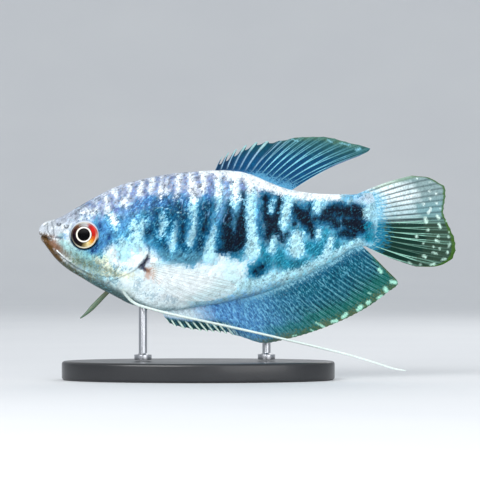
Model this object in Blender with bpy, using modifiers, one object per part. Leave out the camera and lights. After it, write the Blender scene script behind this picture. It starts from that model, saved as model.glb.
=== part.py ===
"""A life-size opaline gourami, swimming level, on a small display stand.

Every size is in millimetres. A place on the fish is (behind, across, above): behind the tip of the
snout, across from the middle of the fish with its right flank positive, and above the tip of the snout.
The fish faces -X and its left flank faces -Y. The origin is the middle of the stand's underside.
"""

import math

import bmesh
import bpy
from mathutils import Matrix, Vector

MM = 0.001
GAP = 0.3

# The stand, and where the fish is held over it.
SNOUT_HEIGHT = 39.5
STAND_BEHIND = 42.0
BASE_LENGTH = 72.0
BASE_WIDTH = 38.0
BASE_THICKNESS = 5.0
BASE_CHAMFER = 0.9
BASE_SIDES = 48
ROD_RADIUS = 1.1
ROD_COLLAR_RADIUS = 2.3
ROD_COLLAR_HEIGHT = 1.4
ROD_SIDES = 16
FRONT_ROD = (27.4, 0.0, -17.0)
REAR_ROD = (60.0, 2.7, -6.0)

# The body in side view: heights of the back and of the belly, then its half width and widest level.
BACK = [(0, 1.9), (1.6, 2.25), (2.9, 2.5), (5.5, 3.4), (8.7, 5.15), (13.5, 7.9), (18.2, 10.4), (23, 12.3),
        (27.7, 13.5), (32.4, 14.5), (40.4, 15.4), (48.3, 15.8), (53, 15.4), (57, 14.25), (61, 12.5),
        (65, 11.0), (69, 10.15), (75, 9.5), (81.5, 9.4), (84.5, 9.6), (88, 10.4)]
BELLY = [(0, -2.2), (0.8, -3.0), (1.6, -3.7), (2.4, -4.5), (4, -6.3), (5.5, -7.8), (8.7, -10.7),
         (11.9, -12.9), (15, -14.8), (18.2, -16.5), (21.4, -18.2), (24.5, -19.6), (28, -20.5), (31.5, -21.2),
         (37, -21.0), (42.5, -20.1), (48, -19.3), (53, -18.2), (58.3, -16.8), (63.6, -14.9), (69, -12.6),
         (74, -10.0), (79.4, -6.9), (82.6, -4.8), (85, -4.2), (88, -4.9)]
HALF_WIDTH = [(0, 1.5), (2.5, 2.5), (5, 3.2), (9, 4.3), (13, 5.1), (18, 5.9), (24, 6.6), (30, 6.9),
              (38, 6.8), (46, 6.3), (54, 5.5), (62, 4.5), (70, 3.5), (78, 2.4), (84, 1.5), (88, 1.0)]
WIDEST = [(0, -0.2), (4, -1.2), (9, -1.8), (16, -2.6), (24, -3.2), (34, -2.4), (46, -0.6), (60, 0.8),
          (72, 2.0), (88, 2.8)]
BACK_ROUNDNESS = [(0, 0.9), (10, 0.95), (24, 1.05), (50, 1.15), (70, 1.05), (88, 0.9)]
BELLY_ROUNDNESS = [(0, 0.9), (8, 1.05), (18, 1.0), (26, 0.85), (34, 1.0), (44, 1.25), (60, 1.3),
                   (76, 1.1), (88, 0.9)]
KEEL = 0.6
KEEL_ROUNDNESS = 0.3
NOSE_LENGTH = 2.5

# Where the body is parted. The gill cover's rear edge is given by how far down the flank it lies.
GILL_EDGE = [(0, 23.0), (0.14, 25.0), (0.29, 27.2), (0.44, 28.3), (0.56, 29.0), (0.61, 28.7), (0.69, 26.2),
             (0.75, 23.7), (0.82, 20.8), (0.9, 18.2), (1, 16.8)]
GILL_LEVEL = 24.0
GILL_GAP = 0.45
GILL_SWELL = 0.35
GILL_TUCK = 0.25
GILL_LIP_LENGTH = 2.4
GILL_TOP = 0.2
GILL_BOTTOM = 0.92
TAIL_CUT = 66.5
BODY_END = 86.0
BODY_END_BULGE = 1.4
HEAD_STATIONS = [0.02, 0.2, 0.55, 1.0, 1.6, 2.3, 3.1, 4.0, 5.0, 6.0, 7.1, 8.3, 9.6, 11.0, 12.5, 14.0, 15.5,
                 17.0, 18.5, 19.9, 21.2, 22.3, 23.2, 24.0]
HEAD_LEVELS = 22
TORSO_STATIONS = 17
TORSO_LEVELS = 17
TORSO_CROWDING = 1.15
TAIL_STATIONS = 9
TAIL_LEVELS = 13
GROWN_STATIONS = 26

# The head's own features.
EYE = (12.2, -1.35)
EYE_RADIUS = 4.0
EYE_DEPTH = 1.7
EYE_SUNK = 0.7
EYE_SEGMENTS = 20
EYE_RINGS = 10
MOUTH_LEVEL = -1.4
MOUTH_CORNER = 3.4
MOUTH_SLOPE = -0.32
MOUTH_STEPS = 7
MOUTH_GROOVE = 0.22
UPPER_LIP = (0.85, 0.82)
LOWER_LIP = (-0.75, 0.66)
LIP_SUNK = 0.34
LIP_END_SHARE = 0.3
NOSTRILS = [(5.4, 1.6, 0.36), (7.4, 1.1, 0.46)]
JAW_EDGE = [(5.3, -6.2), (7.4, -8.0), (10.0, -9.9), (13.5, -11.8), (17.0, -12.5), (20.0, -12.3)]
CHEEK_EDGE = [(21.6, -4.6), (21.5, -7.2), (21.1, -9.6), (20.2, -11.0)]
CREASE_RADIUS = 0.24
NOSTRIL_SEGMENTS = 8
NOSTRIL_RINGS = 5

# The fins. A ray runs from the body to a point of the tip line (share along the fin, behind, above).
DORSAL_ROOT = (46.3, 66.3)
DORSAL_TIPS = [(0, 48.3, 19.5), (0.08, 50.1, 20.6), (0.16, 52.2, 21.5), (0.25, 55.3, 22.7),
               (0.34, 58.6, 23.4), (0.42, 61.7, 23.5), (0.48, 64.6, 23.7), (0.54, 68.1, 24.5),
               (0.67, 74.7, 24.8), (0.8, 81.8, 23.1), (0.9, 87.4, 21.4), (1, 84.6, 19.6)]
DORSAL_SPINES = 7
DORSAL_RAYS = 8
DORSAL_SPINY_SHARE = 0.46
ANAL_ROOT = (31.8, 84.8)
ANAL_TIPS = [(0, 34.4, -24.6), (0.03, 36.1, -25.4), (0.1, 41.6, -26.5), (0.2, 47.7, -27.1),
             (0.28, 52.5, -27.9), (0.35, 59.1, -29.8), (0.45, 65.7, -28.7), (0.6, 76.0, -25.5),
             (0.75, 85.7, -20.9), (0.86, 92.0, -16.4), (0.93, 94.7, -13.8), (0.965, 91.4, -10.2),
             (1, 86.6, -5.4)]
ANAL_SPINES = 11
ANAL_RAYS = 34
ANAL_SPINY_SHARE = 0.3
CAUDAL_TIPS = [(0, 98.4, 14.4), (0.07, 102.6, 14.0), (0.14, 105.3, 12.7), (0.22, 107.3, 11.2),
               (0.3, 107.4, 9.2), (0.4, 107.0, 6.6), (0.48, 106.8, 4.6), (0.56, 107.7, 2.4),
               (0.64, 108.8, -0.1), (0.72, 109.8, -2.6), (0.8, 110.0, -5.0), (0.87, 109.3, -7.3),
               (0.93, 107.0, -8.9), (0.97, 103.6, -9.7), (1, 99.5, -9.6)]
CAUDAL_RAYS = 16
CAUDAL_LEAN = 1.6
PECTORAL_ROOT = ((28.9, -8.5), (29.9, -12.4))
PECTORAL_TIPS = [(0, 42.0, -11.2), (0.12, 47.5, -12.5), (0.25, 51.0, -13.7), (0.4, 52.3, -15.0),
                 (0.55, 51.0, -16.6), (0.7, 48.0, -17.8), (0.85, 43.0, -18.6), (1, 37.5, -18.4)]
PECTORAL_RAYS = 9
PECTORAL_SINK = 0.5
PECTORAL_RISE = 1.5
PECTORAL_SPREAD = 3.2
FIN_RAY_HALF = 0.42
FIN_WEB_HALF = 0.26
FIN_ROOT_HALF = 0.62
CAUDAL_ROOT_HALF = 0.95
PECTORAL_ROOT_HALF = 0.5
RAY_FOOT = 0.27
ROOT_SHARE = 0.33
TIP_SHARE = 0.3
FIN_WAVE = 0.35
SPINE_BARE = 0.14
SOFT_RAY_BARE = 0.03
DORSAL_BOW = 0.035
DORSAL_WAVE = (1.1, 0.1)
ANAL_BOW = -0.025
ANAL_WAVE = (1.6, 0.3)
CAUDAL_ROOT = (0.03, 0.97)
CAUDAL_BOW = 0.03
PECTORAL_BOW = (0.03, -0.05)

# The two feelers, which are the pelvic fins: (behind, across, above, half height, half thickness).
LEFT_FEELER = [(21.0, -2.2, -13.6, 0.7, 0.6), (23.3, -4.7, -17.3, 0.62, 0.5), (25.6, -4.6, -19.3, 0.5, 0.42),
               (30.5, -4.1, -20.9, 0.4, 0.38), (36, -3.6, -22.3, 0.36, 0.36), (43, -3.1, -23.8, 0.34, 0.34),
               (53, -2.8, -26.0, 0.33, 0.33), (63.5, -2.7, -28.4, 0.31, 0.31), (74, -2.8, -30.9, 0.3, 0.3),
               (82, -3.0, -32.9, 0.28, 0.28), (90, -3.4, -35.3, 0.26, 0.26), (93.5, -3.6, -36.4, 0.22, 0.22),
               (96.6, -3.8, -36.9, 0.12, 0.12)]
RIGHT_FEELER = [(21.4, 2.0, -12.6, 0.5, 0.5), (20.0, 4.2, -14.7, 0.5, 0.45), (18.2, 5.0, -16.1, 0.56, 0.4),
                (16.4, 5.1, -17.8, 0.64, 0.36), (14.2, 5.1, -20.1, 0.66, 0.32), (12.1, 5, -22.2, 0.38, 0.28),
                (10.6, 5.0, -23.4, 0.14, 0.14)]
FEELER_SIDES = 8
FEELER_STEPS = 2

SMOOTH_ANGLE = 40.0
SLOPE_STEP = 0.4
SNOUT_STEP = 0.02
MERGE = 1e-6

# Colours, roughness and metallic share of the finishes.
FINISHES = {
    "silver_skin": ((0.62, 0.72, 0.78), 0.35, 0.15),
    "barred_skin": ((0.30, 0.42, 0.58), 0.35, 0.15),
    "blue_fin": ((0.06, 0.18, 0.45), 0.4, 0.05),
    "green_fin": ((0.10, 0.30, 0.30), 0.4, 0.05),
    "clear_fin": ((0.75, 0.76, 0.68), 0.4, 0.0),
    "pale_feeler": ((0.62, 0.72, 0.60), 0.45, 0.0),
    "eye": ((0.50, 0.05, 0.03), 0.15, 0.0),
    "stand": ((0.05, 0.05, 0.055), 0.4, 0.0),
    "steel": ((0.62, 0.63, 0.65), 0.25, 1.0),
}
FINISH_OF = {
    "head": "silver_skin",
    "torso": "silver_skin",
    "tail_stem": "barred_skin",
    "eye_left": "eye",
    "eye_right": "eye",
    "dorsal_fin": "blue_fin",
    "anal_fin": "blue_fin",
    "caudal_fin": "green_fin",
    "pectoral_fin_left": "clear_fin",
    "pectoral_fin_right": "clear_fin",
    "pelvic_fin_left": "pale_feeler",
    "pelvic_fin_right": "pale_feeler",
    "stand_base": "stand",
    "stand_rod_front": "steel",
    "stand_rod_rear": "steel",
}


def curve_through(knots):
    """A smooth function through (x, y) knots that doesn't overshoot between them."""
    xs = [float(knot[0]) for knot in knots]
    ys = [float(knot[1]) for knot in knots]
    last = len(xs) - 1
    rises = [(ys[i + 1] - ys[i]) / (xs[i + 1] - xs[i]) for i in range(last)]
    slopes = [rises[0]] + [0.0] * (last - 1) + [rises[-1]]
    for i in range(1, last):
        if rises[i - 1] * rises[i] > 0:
            slopes[i] = 2 * rises[i - 1] * rises[i] / (rises[i - 1] + rises[i])

    def value(x):
        x = min(max(x, xs[0]), xs[-1])
        i = max(j for j in range(last) if xs[j] <= x)
        step = xs[i + 1] - xs[i]
        t = (x - xs[i]) / step
        start = (1 + 2 * t) * (1 - t) ** 2 * ys[i] + t * (1 - t) ** 2 * step * slopes[i]
        end = t * t * (3 - 2 * t) * ys[i + 1] + t * t * (t - 1) * step * slopes[i + 1]
        return start + end

    return value


def path_through(places):
    """A function from 0..1 to a tuple, through places spaced evenly along it."""
    last = len(places) - 1
    parts = [curve_through(list(enumerate(values))) for values in zip(*places)]
    return lambda share: tuple(part(share * last) for part in parts)


def tip_line(tips):
    """A function from a share along the fin to (behind, above) at the tip of its ray."""
    behind = curve_through([(tip[0], tip[1]) for tip in tips])
    above = curve_through([(tip[0], tip[2]) for tip in tips])
    return lambda share: (behind(share), above(share))


back_height = curve_through(BACK)
belly_height = curve_through(BELLY)
half_width = curve_through(HALF_WIDTH)
widest_level = curve_through(WIDEST)
back_roundness = curve_through(BACK_ROUNDNESS)
belly_roundness = curve_through(BELLY_ROUNDNESS)
gill_edge = curve_through(GILL_EDGE)


def place(behind, across, above):
    """A place on the fish as a point of the model, in metres."""
    return Vector(((behind - STAND_BEHIND) * MM, across * MM, (above + SNOUT_HEIGHT) * MM))


def blend(low, high, share):
    return low + (high - low) * share


def nose_roundness(behind):
    share = min(max(behind / NOSE_LENGTH, 0.0), 1.0)
    return math.sqrt(1 - (1 - share) ** 2)


def back(behind):
    return back_height(behind) * nose_roundness(behind)


def belly(behind):
    return belly_height(behind) * nose_roundness(behind)


def flank(behind, above):
    """Half width of the body at a place in side view."""
    level = widest_level(behind) * nose_roundness(behind)
    if above > level:
        reach = (above - level) / (back(behind) - level)
        roundness = back_roundness(behind)
    else:
        reach = (level - above) / (level - belly(behind))
        roundness = belly_roundness(behind)
    fullness = max(1 - reach * reach, 0.0)
    width = half_width(behind) * nose_roundness(behind)
    keel = min(KEEL, width)
    return (width - keel) * fullness ** (roundness / 2) + keel * fullness ** (KEEL_ROUNDNESS / 2)


def flank_direction(behind, above, side):
    """The way the flank faces at a place in side view. side is -1 on the left and 1 on the right."""
    ahead, after = flank(behind - SLOPE_STEP, above), flank(behind + SLOPE_STEP, above)
    under, over = flank(behind, above - SLOPE_STEP), flank(behind, above + SLOPE_STEP)
    along = (after - ahead) / (2 * SLOPE_STEP)
    up = (over - under) / (2 * SLOPE_STEP)
    return Vector((-along, side, -up)).normalized()


def snout_front(above):
    """How far behind the tip the front of the snout is at a height."""
    behind = SNOUT_STEP
    while not belly(behind) < above < back(behind):
        behind += SNOUT_STEP
    return behind


def new_object(name, mesh):
    obj = bpy.data.objects.new(name, mesh)
    FISH.objects.link(obj)
    return obj


def mesh_object(name, points, faces):
    """A closed mesh of triangles from points in the model's frame, with its faces turned outwards."""
    mesh = bpy.data.meshes.new(name)
    mesh.from_pydata([tuple(point) for point in points], [], faces)
    shape = bmesh.new()
    shape.from_mesh(mesh)
    bmesh.ops.triangulate(shape, faces=[face for face in shape.faces if len(face.verts) > 3])
    bmesh.ops.recalc_face_normals(shape, faces=shape.faces)
    shape.to_mesh(mesh)
    shape.free()
    return new_object(name, mesh)


def body_length(name, stations, levels, swell=None, grow=0.0):
    """One length of the body, through rings that run from the back down to the belly and up again.

    A station says how far behind a ring lies for how far down the flank. swell gives how far a ring
    stands out of the flank there, and grow moves the whole surface outwards.
    """
    drops = [(1 - math.cos(math.pi * k / levels)) / 2 for k in range(levels + 1)]
    ring_size = 2 * levels
    points = []
    for number, station in enumerate(stations):
        right, left = [], []
        for drop in drops:
            behind = station(drop)
            above = blend(back(behind), belly(behind), drop)
            across = flank(behind, above)
            if swell:
                across += swell(number, drop) * min(across, 1.0)
            above += grow * math.cos(math.pi * drop)
            across += grow * math.sin(math.pi * drop)
            right.append(place(behind, across, above))
            left.append(place(behind, -across, above))
        points += right + left[-2:0:-1]
    faces = []
    for ring in range(len(stations) - 1):
        for k in range(ring_size):
            after = (k + 1) % ring_size
            faces.append((ring * ring_size + k, ring * ring_size + after,
                          (ring + 1) * ring_size + after, (ring + 1) * ring_size + k))
    for first in (0, (len(stations) - 1) * ring_size):
        rungs = [(first + k, first + (ring_size - k) % ring_size) for k in range(levels + 1)]
        for upper, lower in zip(rungs, rungs[1:]):
            faces.append(tuple(dict.fromkeys((upper[0], lower[0], lower[1], upper[1]))))
    return mesh_object(name, points, faces)


def head_station(behind):
    """A ring of the head, each a copy of the gill cover's edge that shrinks towards the snout."""
    return lambda drop: gill_edge(drop) * behind / GILL_LEVEL


def torso_station(share):
    return lambda drop: blend(gill_edge(drop) + GILL_GAP, TAIL_CUT, share)


def tail_end(drop):
    """The scaled end of the tail stem, which bulges backwards at mid height."""
    return BODY_END + BODY_END_BULGE * math.sin(math.pi * drop)


def tail_station(share):
    return lambda drop: blend(TAIL_CUT + GAP, tail_end(drop), share)


def gill_share(drop):
    """How much the gill cover stands out at a height: not over the back, and not at the throat."""
    share = min(max((drop - GILL_TOP) / (GILL_BOTTOM - GILL_TOP), 0.0), 1.0)
    return math.sqrt(max(math.sin(math.pi * share), 0.0))


def gill_cover_swell(number, drop):
    edge = 1 - (GILL_LEVEL - HEAD_STATIONS[number]) / GILL_LIP_LENGTH
    return GILL_SWELL * max(edge, 0.0) * gill_share(drop)


def gill_opening_tuck(number, drop):
    return -GILL_TUCK * gill_share(drop) if number == 0 else 0.0


def evaluated_mesh(obj):
    bpy.context.view_layer.update()
    return bpy.data.meshes.new_from_object(obj.evaluated_get(bpy.context.evaluated_depsgraph_get()))


def keep_largest(obj):
    """Leaves only the largest closed surface of a mesh."""
    shape = bmesh.new()
    shape.from_mesh(obj.data)
    bmesh.ops.remove_doubles(shape, verts=shape.verts, dist=MERGE)
    unseen = set(shape.verts)
    surfaces = []
    while unseen:
        surface, edge = [], [unseen.pop()]
        while edge:
            vert = edge.pop()
            surface.append(vert)
            near = {link.other_vert(vert) for link in vert.link_edges} & unseen
            unseen -= near
            edge += near
        surfaces.append(surface)
    surfaces.sort(key=len)
    scraps = [vert for surface in surfaces[:-1] for vert in surface]
    bmesh.ops.delete(shape, geom=scraps, context="VERTS")
    bmesh.ops.triangulate(shape, faces=shape.faces)
    shape.to_mesh(obj.data)
    shape.free()


def combine(obj, pieces, operation):
    """Joins pieces to an object, or cuts them from it, with one Boolean, and removes them."""
    group = bpy.data.collections.new(obj.name + "_pieces")
    bpy.context.scene.collection.children.link(group)
    for piece in pieces:
        FISH.objects.unlink(piece)
        group.objects.link(piece)
    boolean = obj.modifiers.new("Combine", "BOOLEAN")
    boolean.operation = operation
    boolean.operand_type = "COLLECTION"
    boolean.collection = group
    boolean.solver = "EXACT"
    mesh = evaluated_mesh(obj)
    obj.modifiers.clear()
    obj.data = mesh
    for piece in pieces:
        bpy.data.objects.remove(piece)
    bpy.data.collections.remove(group)
    keep_largest(obj)


def tube(name, points, radii, fineness=1):
    """A closed tube along points, with its own radius in millimetres at each and four sides or more."""
    curve = bpy.data.curves.new(name, "CURVE")
    curve.dimensions = "3D"
    curve.bevel_depth = MM
    curve.bevel_resolution = fineness
    curve.use_fill_caps = True
    spline = curve.splines.new("POLY")
    spline.points.add(len(points) - 1)
    for knot, point, radius in zip(spline.points, points, radii):
        knot.co = (*point, 1.0)
        knot.radius = radius
    guide = new_object(name + "_guide", curve)
    mesh = evaluated_mesh(guide)
    bpy.data.objects.remove(guide)
    shape = bmesh.new()
    shape.from_mesh(mesh)
    bmesh.ops.remove_doubles(shape, verts=shape.verts, dist=MERGE)
    bmesh.ops.recalc_face_normals(shape, faces=shape.faces)
    shape.to_mesh(mesh)
    shape.free()
    return new_object(name, mesh)


def ball(name, centre, radius, depth, direction, segments, rings):
    """A ball flattened along direction, where its half size is depth."""
    mesh = bpy.data.meshes.new(name)
    shape = bmesh.new()
    bmesh.ops.create_uvsphere(shape, u_segments=segments, v_segments=rings, radius=MM)
    bmesh.ops.scale(shape, vec=(radius, radius, depth), verts=shape.verts)
    turn = direction.to_track_quat("Z", "Y").to_matrix().to_4x4()
    bmesh.ops.transform(shape, matrix=Matrix.Translation(centre) @ turn, verts=shape.verts)
    shape.to_mesh(mesh)
    shape.free()
    return new_object(name, mesh)


def eye(name, side, grow=0.0):
    """An eyeball, or its socket when grown."""
    direction = flank_direction(*EYE, side)
    surface = place(EYE[0], side * flank(*EYE), EYE[1])
    centre = surface - direction * EYE_SUNK * MM
    return ball(name, centre, EYE_RADIUS + grow, EYE_DEPTH + grow, direction, EYE_SEGMENTS, EYE_RINGS)


def skin_line(knots, side):
    """Points on the flank along places in side view, twice as close together as the knots."""
    line = path_through(knots)
    steps = 2 * (len(knots) - 1)
    spots = [line(step / steps) for step in range(steps + 1)]
    return [place(behind, side * flank(behind, above), above) for behind, above in spots]


def mouth_line(raised, proud):
    """Points round the front of the snout, from the left corner of the mouth to the right one."""
    start = snout_front(MOUTH_LEVEL + raised)
    right = []
    for step in range(1, MOUTH_STEPS + 1):
        share = 1 - math.cos(math.pi / 2 * step / MOUTH_STEPS)
        behind = blend(start, MOUTH_CORNER, share)
        above = MOUTH_LEVEL + raised * (1 - 0.5 * share) + MOUTH_SLOPE * (behind - start)
        right.append((behind, flank(behind, above) + proud, above))
    front = (start - proud, 0.0, MOUTH_LEVEL + raised)
    left = [(behind, -across, above) for behind, across, above in right[::-1]]
    return [place(*spot) for spot in left + [front] + right]


def lip(name, raised, radius):
    line = mouth_line(raised, -LIP_SUNK)
    last = len(line) - 1
    shares = [blend(LIP_END_SHARE, 1.0, math.sqrt(math.sin(math.pi * k / last))) for k in range(last + 1)]
    return tube(name, line, [radius * share for share in shares], 2)


def crease(name, line):
    return tube(name, line, [CREASE_RADIUS] * len(line))


def build_head():
    head = body_length("head", [head_station(b) for b in HEAD_STATIONS], HEAD_LEVELS, gill_cover_swell)
    combine(head, [lip("upper_lip", *UPPER_LIP), lip("lower_lip", *LOWER_LIP)], "UNION")
    mouth = mouth_line(0.0, 0.0)
    cutters = [tube("mouth", mouth, [MOUTH_GROOVE] * len(mouth))]
    for side in (-1, 1):
        cutters.append(eye("socket", side, GAP))
        cutters.append(crease("jaw_edge", skin_line(JAW_EDGE, side)))
        cutters.append(crease("cheek_edge", skin_line(CHEEK_EDGE, side)))
        for behind, above, radius in NOSTRILS:
            centre = place(behind, side * flank(behind, above), above)
            facing = flank_direction(behind, above, side)
            cutters.append(ball("nostril", centre, radius, radius, facing, NOSTRIL_SEGMENTS, NOSTRIL_RINGS))
    combine(head, cutters, "DIFFERENCE")


def build_torso():
    stations = [torso_station((k / TORSO_STATIONS) ** TORSO_CROWDING) for k in range(TORSO_STATIONS + 1)]
    body_length("torso", stations, TORSO_LEVELS, gill_opening_tuck)


def build_tail_stem():
    stations = [tail_station(k / TAIL_STATIONS) for k in range(TAIL_STATIONS + 1)]
    body_length("tail_stem", stations, TAIL_LEVELS)


def trim_to_body(obj):
    """Cuts away what lies inside the body, leaving the clearance."""
    first = HEAD_STATIONS[6]
    behinds = [blend(first, BODY_END, k / GROWN_STATIONS) for k in range(GROWN_STATIONS + 1)]
    stations = [lambda drop, behind=behind: behind for behind in behinds]
    combine(obj, [body_length("grown_body", stations, HEAD_LEVELS, grow=GAP)], "DIFFERENCE")


def ray_shares(spines, rays, spiny_share):
    """Where the spines and then the soft rays stand along a fin."""
    spiny = [spiny_share * k / spines for k in range(spines)]
    soft = [blend(spiny_share, 1.0, k / (rays - 1)) for k in range(rays)]
    return spiny + soft


def fin_columns(shares):
    """(share along the fin, whether it is a ray's crest) for the crest of each ray and both its feet."""
    columns = []
    for number, share in enumerate(shares):
        if number:
            columns.append((share - RAY_FOOT * (share - shares[number - 1]), False))
        columns.append((share, True))
        if number + 1 < len(shares):
            columns.append((share + RAY_FOOT * (shares[number + 1] - share), False))
    return columns


def fin(name, shares, rows, root, tip, lean, notch, bow, root_half):
    """A fin whose rays are ridges on both faces of one membrane.

    root and tip give (behind, above) for a share along the fin. lean gives across for that share and a
    share out along the ray. notch gives how much of a ray the membrane leaves bare, and bow how far the
    ray bends, as a share of its length.
    """
    columns = fin_columns(shares)
    height = rows + 1
    left, right = [], []
    for share, is_crest in columns:
        start, end = Vector(root(share)), Vector(tip(share))
        reach = 1.0 if is_crest else 1.0 - notch(share)
        sideways = Vector((start.y - end.y, end.x - start.x)) * bow(share)
        for row in range(height):
            out = reach * row / rows
            spot = start.lerp(end, out) + sideways * math.sin(math.pi * out)
            crest = blend(FIN_WEB_HALF, FIN_RAY_HALF, min((1.0 - out) / TIP_SHARE, 1.0))
            half = blend(root_half, crest if is_crest else FIN_WEB_HALF, min(out / ROOT_SHARE, 1.0))
            left.append(place(spot.x, lean(share, out) - half, spot.y))
            right.append(place(spot.x, lean(share, out) + half, spot.y))
    faces = []

    def strip(first, second):
        """Triangles between two rows of points, split the same way on both faces of the fin."""
        for (a, b), (c, d) in zip(zip(first, first[1:]), zip(second, second[1:])):
            faces.extend([(a, b, d), (a, d, c)])

    opposite = len(left)
    for column in range(len(columns) - 1):
        near = range(column * height, (column + 1) * height)
        far = range((column + 1) * height, (column + 2) * height)
        strip(near, far)
        strip([opposite + k for k in near], [opposite + k for k in far])
    for edge in (
        range(0, opposite, height),
        range(rows, opposite, height),
        range(height),
        range(opposite - height, opposite),
    ):
        strip(edge, [opposite + k for k in edge])
    return mesh_object(name, left + right, faces)


def wave(turns, start):
    """A gentle ripple across a fin, growing towards its edge."""
    return lambda share, out: FIN_WAVE * out * math.sin(2 * math.pi * (turns * share + start))


def bare_tips(spiny_share):
    """How much of a spine or a soft ray stands out of the membrane."""
    return lambda share: SPINE_BARE if share < spiny_share else SOFT_RAY_BARE


def build_dorsal_fin():
    def root(share):
        behind = blend(*DORSAL_ROOT, share)
        return behind, back(behind) + GAP

    shares = ray_shares(DORSAL_SPINES, DORSAL_RAYS, DORSAL_SPINY_SHARE)
    fin("dorsal_fin", shares, 5, root, tip_line(DORSAL_TIPS), wave(*DORSAL_WAVE),
        bare_tips(DORSAL_SPINY_SHARE), lambda share: DORSAL_BOW, FIN_ROOT_HALF)


def build_anal_fin():
    def root(share):
        behind = blend(*ANAL_ROOT, share)
        return behind, belly(behind) - GAP

    shares = ray_shares(ANAL_SPINES, ANAL_RAYS, ANAL_SPINY_SHARE)
    fin("anal_fin", shares, 4, root, tip_line(ANAL_TIPS), wave(*ANAL_WAVE),
        bare_tips(ANAL_SPINY_SHARE), lambda share: ANAL_BOW, FIN_ROOT_HALF)


def build_caudal_fin():
    def root(share):
        drop = blend(*CAUDAL_ROOT, share)
        behind = tail_end(drop) + GAP
        return behind, blend(back(behind), belly(behind), drop)

    def lean(share, out):
        return CAUDAL_LEAN * out * out + FIN_WAVE * out * math.sin(2 * math.pi * share)

    shares = [k / (CAUDAL_RAYS - 1) for k in range(CAUDAL_RAYS)]
    fin("caudal_fin", shares, 5, root, tip_line(CAUDAL_TIPS), lean, lambda share: SOFT_RAY_BARE / 2,
        lambda share: blend(CAUDAL_BOW, -CAUDAL_BOW, share), CAUDAL_ROOT_HALF)


def build_pectoral_fin(name, side):
    def root(share):
        return tuple(blend(top, bottom, share) for top, bottom in zip(*PECTORAL_ROOT))

    def lean(share, out):
        rise = PECTORAL_RISE * min(out * 4, 1.0) - PECTORAL_SINK
        return side * (flank(*root(share)) + rise + PECTORAL_SPREAD * out)

    shares = [k / (PECTORAL_RAYS - 1) for k in range(PECTORAL_RAYS)]
    piece = fin(name, shares, 5, root, tip_line(PECTORAL_TIPS), lean, lambda share: SOFT_RAY_BARE,
                lambda share: blend(*PECTORAL_BOW, share), PECTORAL_ROOT_HALF)
    trim_to_body(piece)


def build_feeler(name, knots):
    """A tapered feeler of oval section, rooted in the body and cut at its skin."""
    path = path_through(knots)
    steps = FEELER_STEPS * (len(knots) - 1)
    points = []
    for step in range(steps + 1):
        behind, across, above, half_height, half_thickness = path(step / steps)
        ahead, trail = path(min((step + 1) / steps, 1.0)), path(max((step - 1) / steps, 0.0))
        upright = Vector((trail[2] - ahead[2], ahead[0] - trail[0])).normalized() * half_height
        for k in range(FEELER_SIDES):
            angle = 2 * math.pi * k / FEELER_SIDES
            points.append(place(behind + upright.x * math.cos(angle),
                                across + half_thickness * math.sin(angle),
                                above + upright.y * math.cos(angle)))
    faces = [tuple(range(FEELER_SIDES)), tuple(range(steps * FEELER_SIDES, (steps + 1) * FEELER_SIDES))]
    for ring in range(steps):
        for k in range(FEELER_SIDES):
            after = (k + 1) % FEELER_SIDES
            faces.append((ring * FEELER_SIDES + k, ring * FEELER_SIDES + after,
                          (ring + 1) * FEELER_SIDES + after, (ring + 1) * FEELER_SIDES + k))
    trim_to_body(mesh_object(name, points, faces))


def build_base():
    """An oval plate with chamfered rims, standing on its flat underside."""
    mesh = bpy.data.meshes.new("stand_base")
    shape = bmesh.new()
    bmesh.ops.create_cone(shape, cap_ends=True, segments=BASE_SIDES, radius1=0.5, radius2=0.5, depth=1.0)
    bmesh.ops.translate(shape, vec=(0, 0, 0.5), verts=shape.verts)
    bmesh.ops.scale(shape, vec=(BASE_LENGTH * MM, BASE_WIDTH * MM, BASE_THICKNESS * MM), verts=shape.verts)
    rims = [edge for edge in shape.edges if abs(edge.verts[0].co.z - edge.verts[1].co.z) < 1e-6]
    bmesh.ops.bevel(shape, geom=rims, offset=BASE_CHAMFER * MM, segments=1, affect="EDGES")
    bmesh.ops.triangulate(shape, faces=shape.faces)
    shape.to_mesh(mesh)
    shape.free()
    new_object("stand_base", mesh)


def build_rod(name, behind, across, top):
    """A thin rod with a turned collar at its foot, whose head is cut to the shape of the belly."""
    foot = BASE_THICKNESS + GAP
    profile = [(0.0, SNOUT_HEIGHT + top), (ROD_RADIUS, SNOUT_HEIGHT + top),
               (ROD_RADIUS, foot + ROD_COLLAR_HEIGHT), (ROD_COLLAR_RADIUS, foot + 0.5 * ROD_COLLAR_HEIGHT),
               (ROD_COLLAR_RADIUS, foot), (0.0, foot)]
    mesh = bpy.data.meshes.new(name)
    edges = [(k, k + 1) for k in range(len(profile) - 1)]
    mesh.from_pydata([(x * MM, 0, z * MM) for x, z in profile], edges, [])
    rod = new_object(name, mesh)
    rod.location = ((behind - STAND_BEHIND) * MM, across * MM, 0)
    screw = rod.modifiers.new("Turn", "SCREW")
    screw.steps = ROD_SIDES
    screw.render_steps = ROD_SIDES
    screw.use_merge_vertices = True
    screw.merge_threshold = MERGE
    trim_to_body(rod)


def finish(obj):
    """Gives an object its material, smooth shading on round pieces, and a place under the origin."""
    colour, roughness, metallic = FINISHES[FINISH_OF[obj.name]]
    material = bpy.data.materials.get(FINISH_OF[obj.name]) or bpy.data.materials.new(FINISH_OF[obj.name])
    material.use_nodes = True
    shader = material.node_tree.nodes["Principled BSDF"]
    shader.inputs["Base Color"].default_value = (*colour, 1.0)
    shader.inputs["Roughness"].default_value = roughness
    shader.inputs["Metallic"].default_value = metallic
    obj.data.materials.clear()
    obj.data.materials.append(material)
    obj.data.shade_smooth()
    obj.data.set_sharp_from_angle(angle=math.radians(SMOOTH_ANGLE))
    obj.parent = ORIGIN


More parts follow.
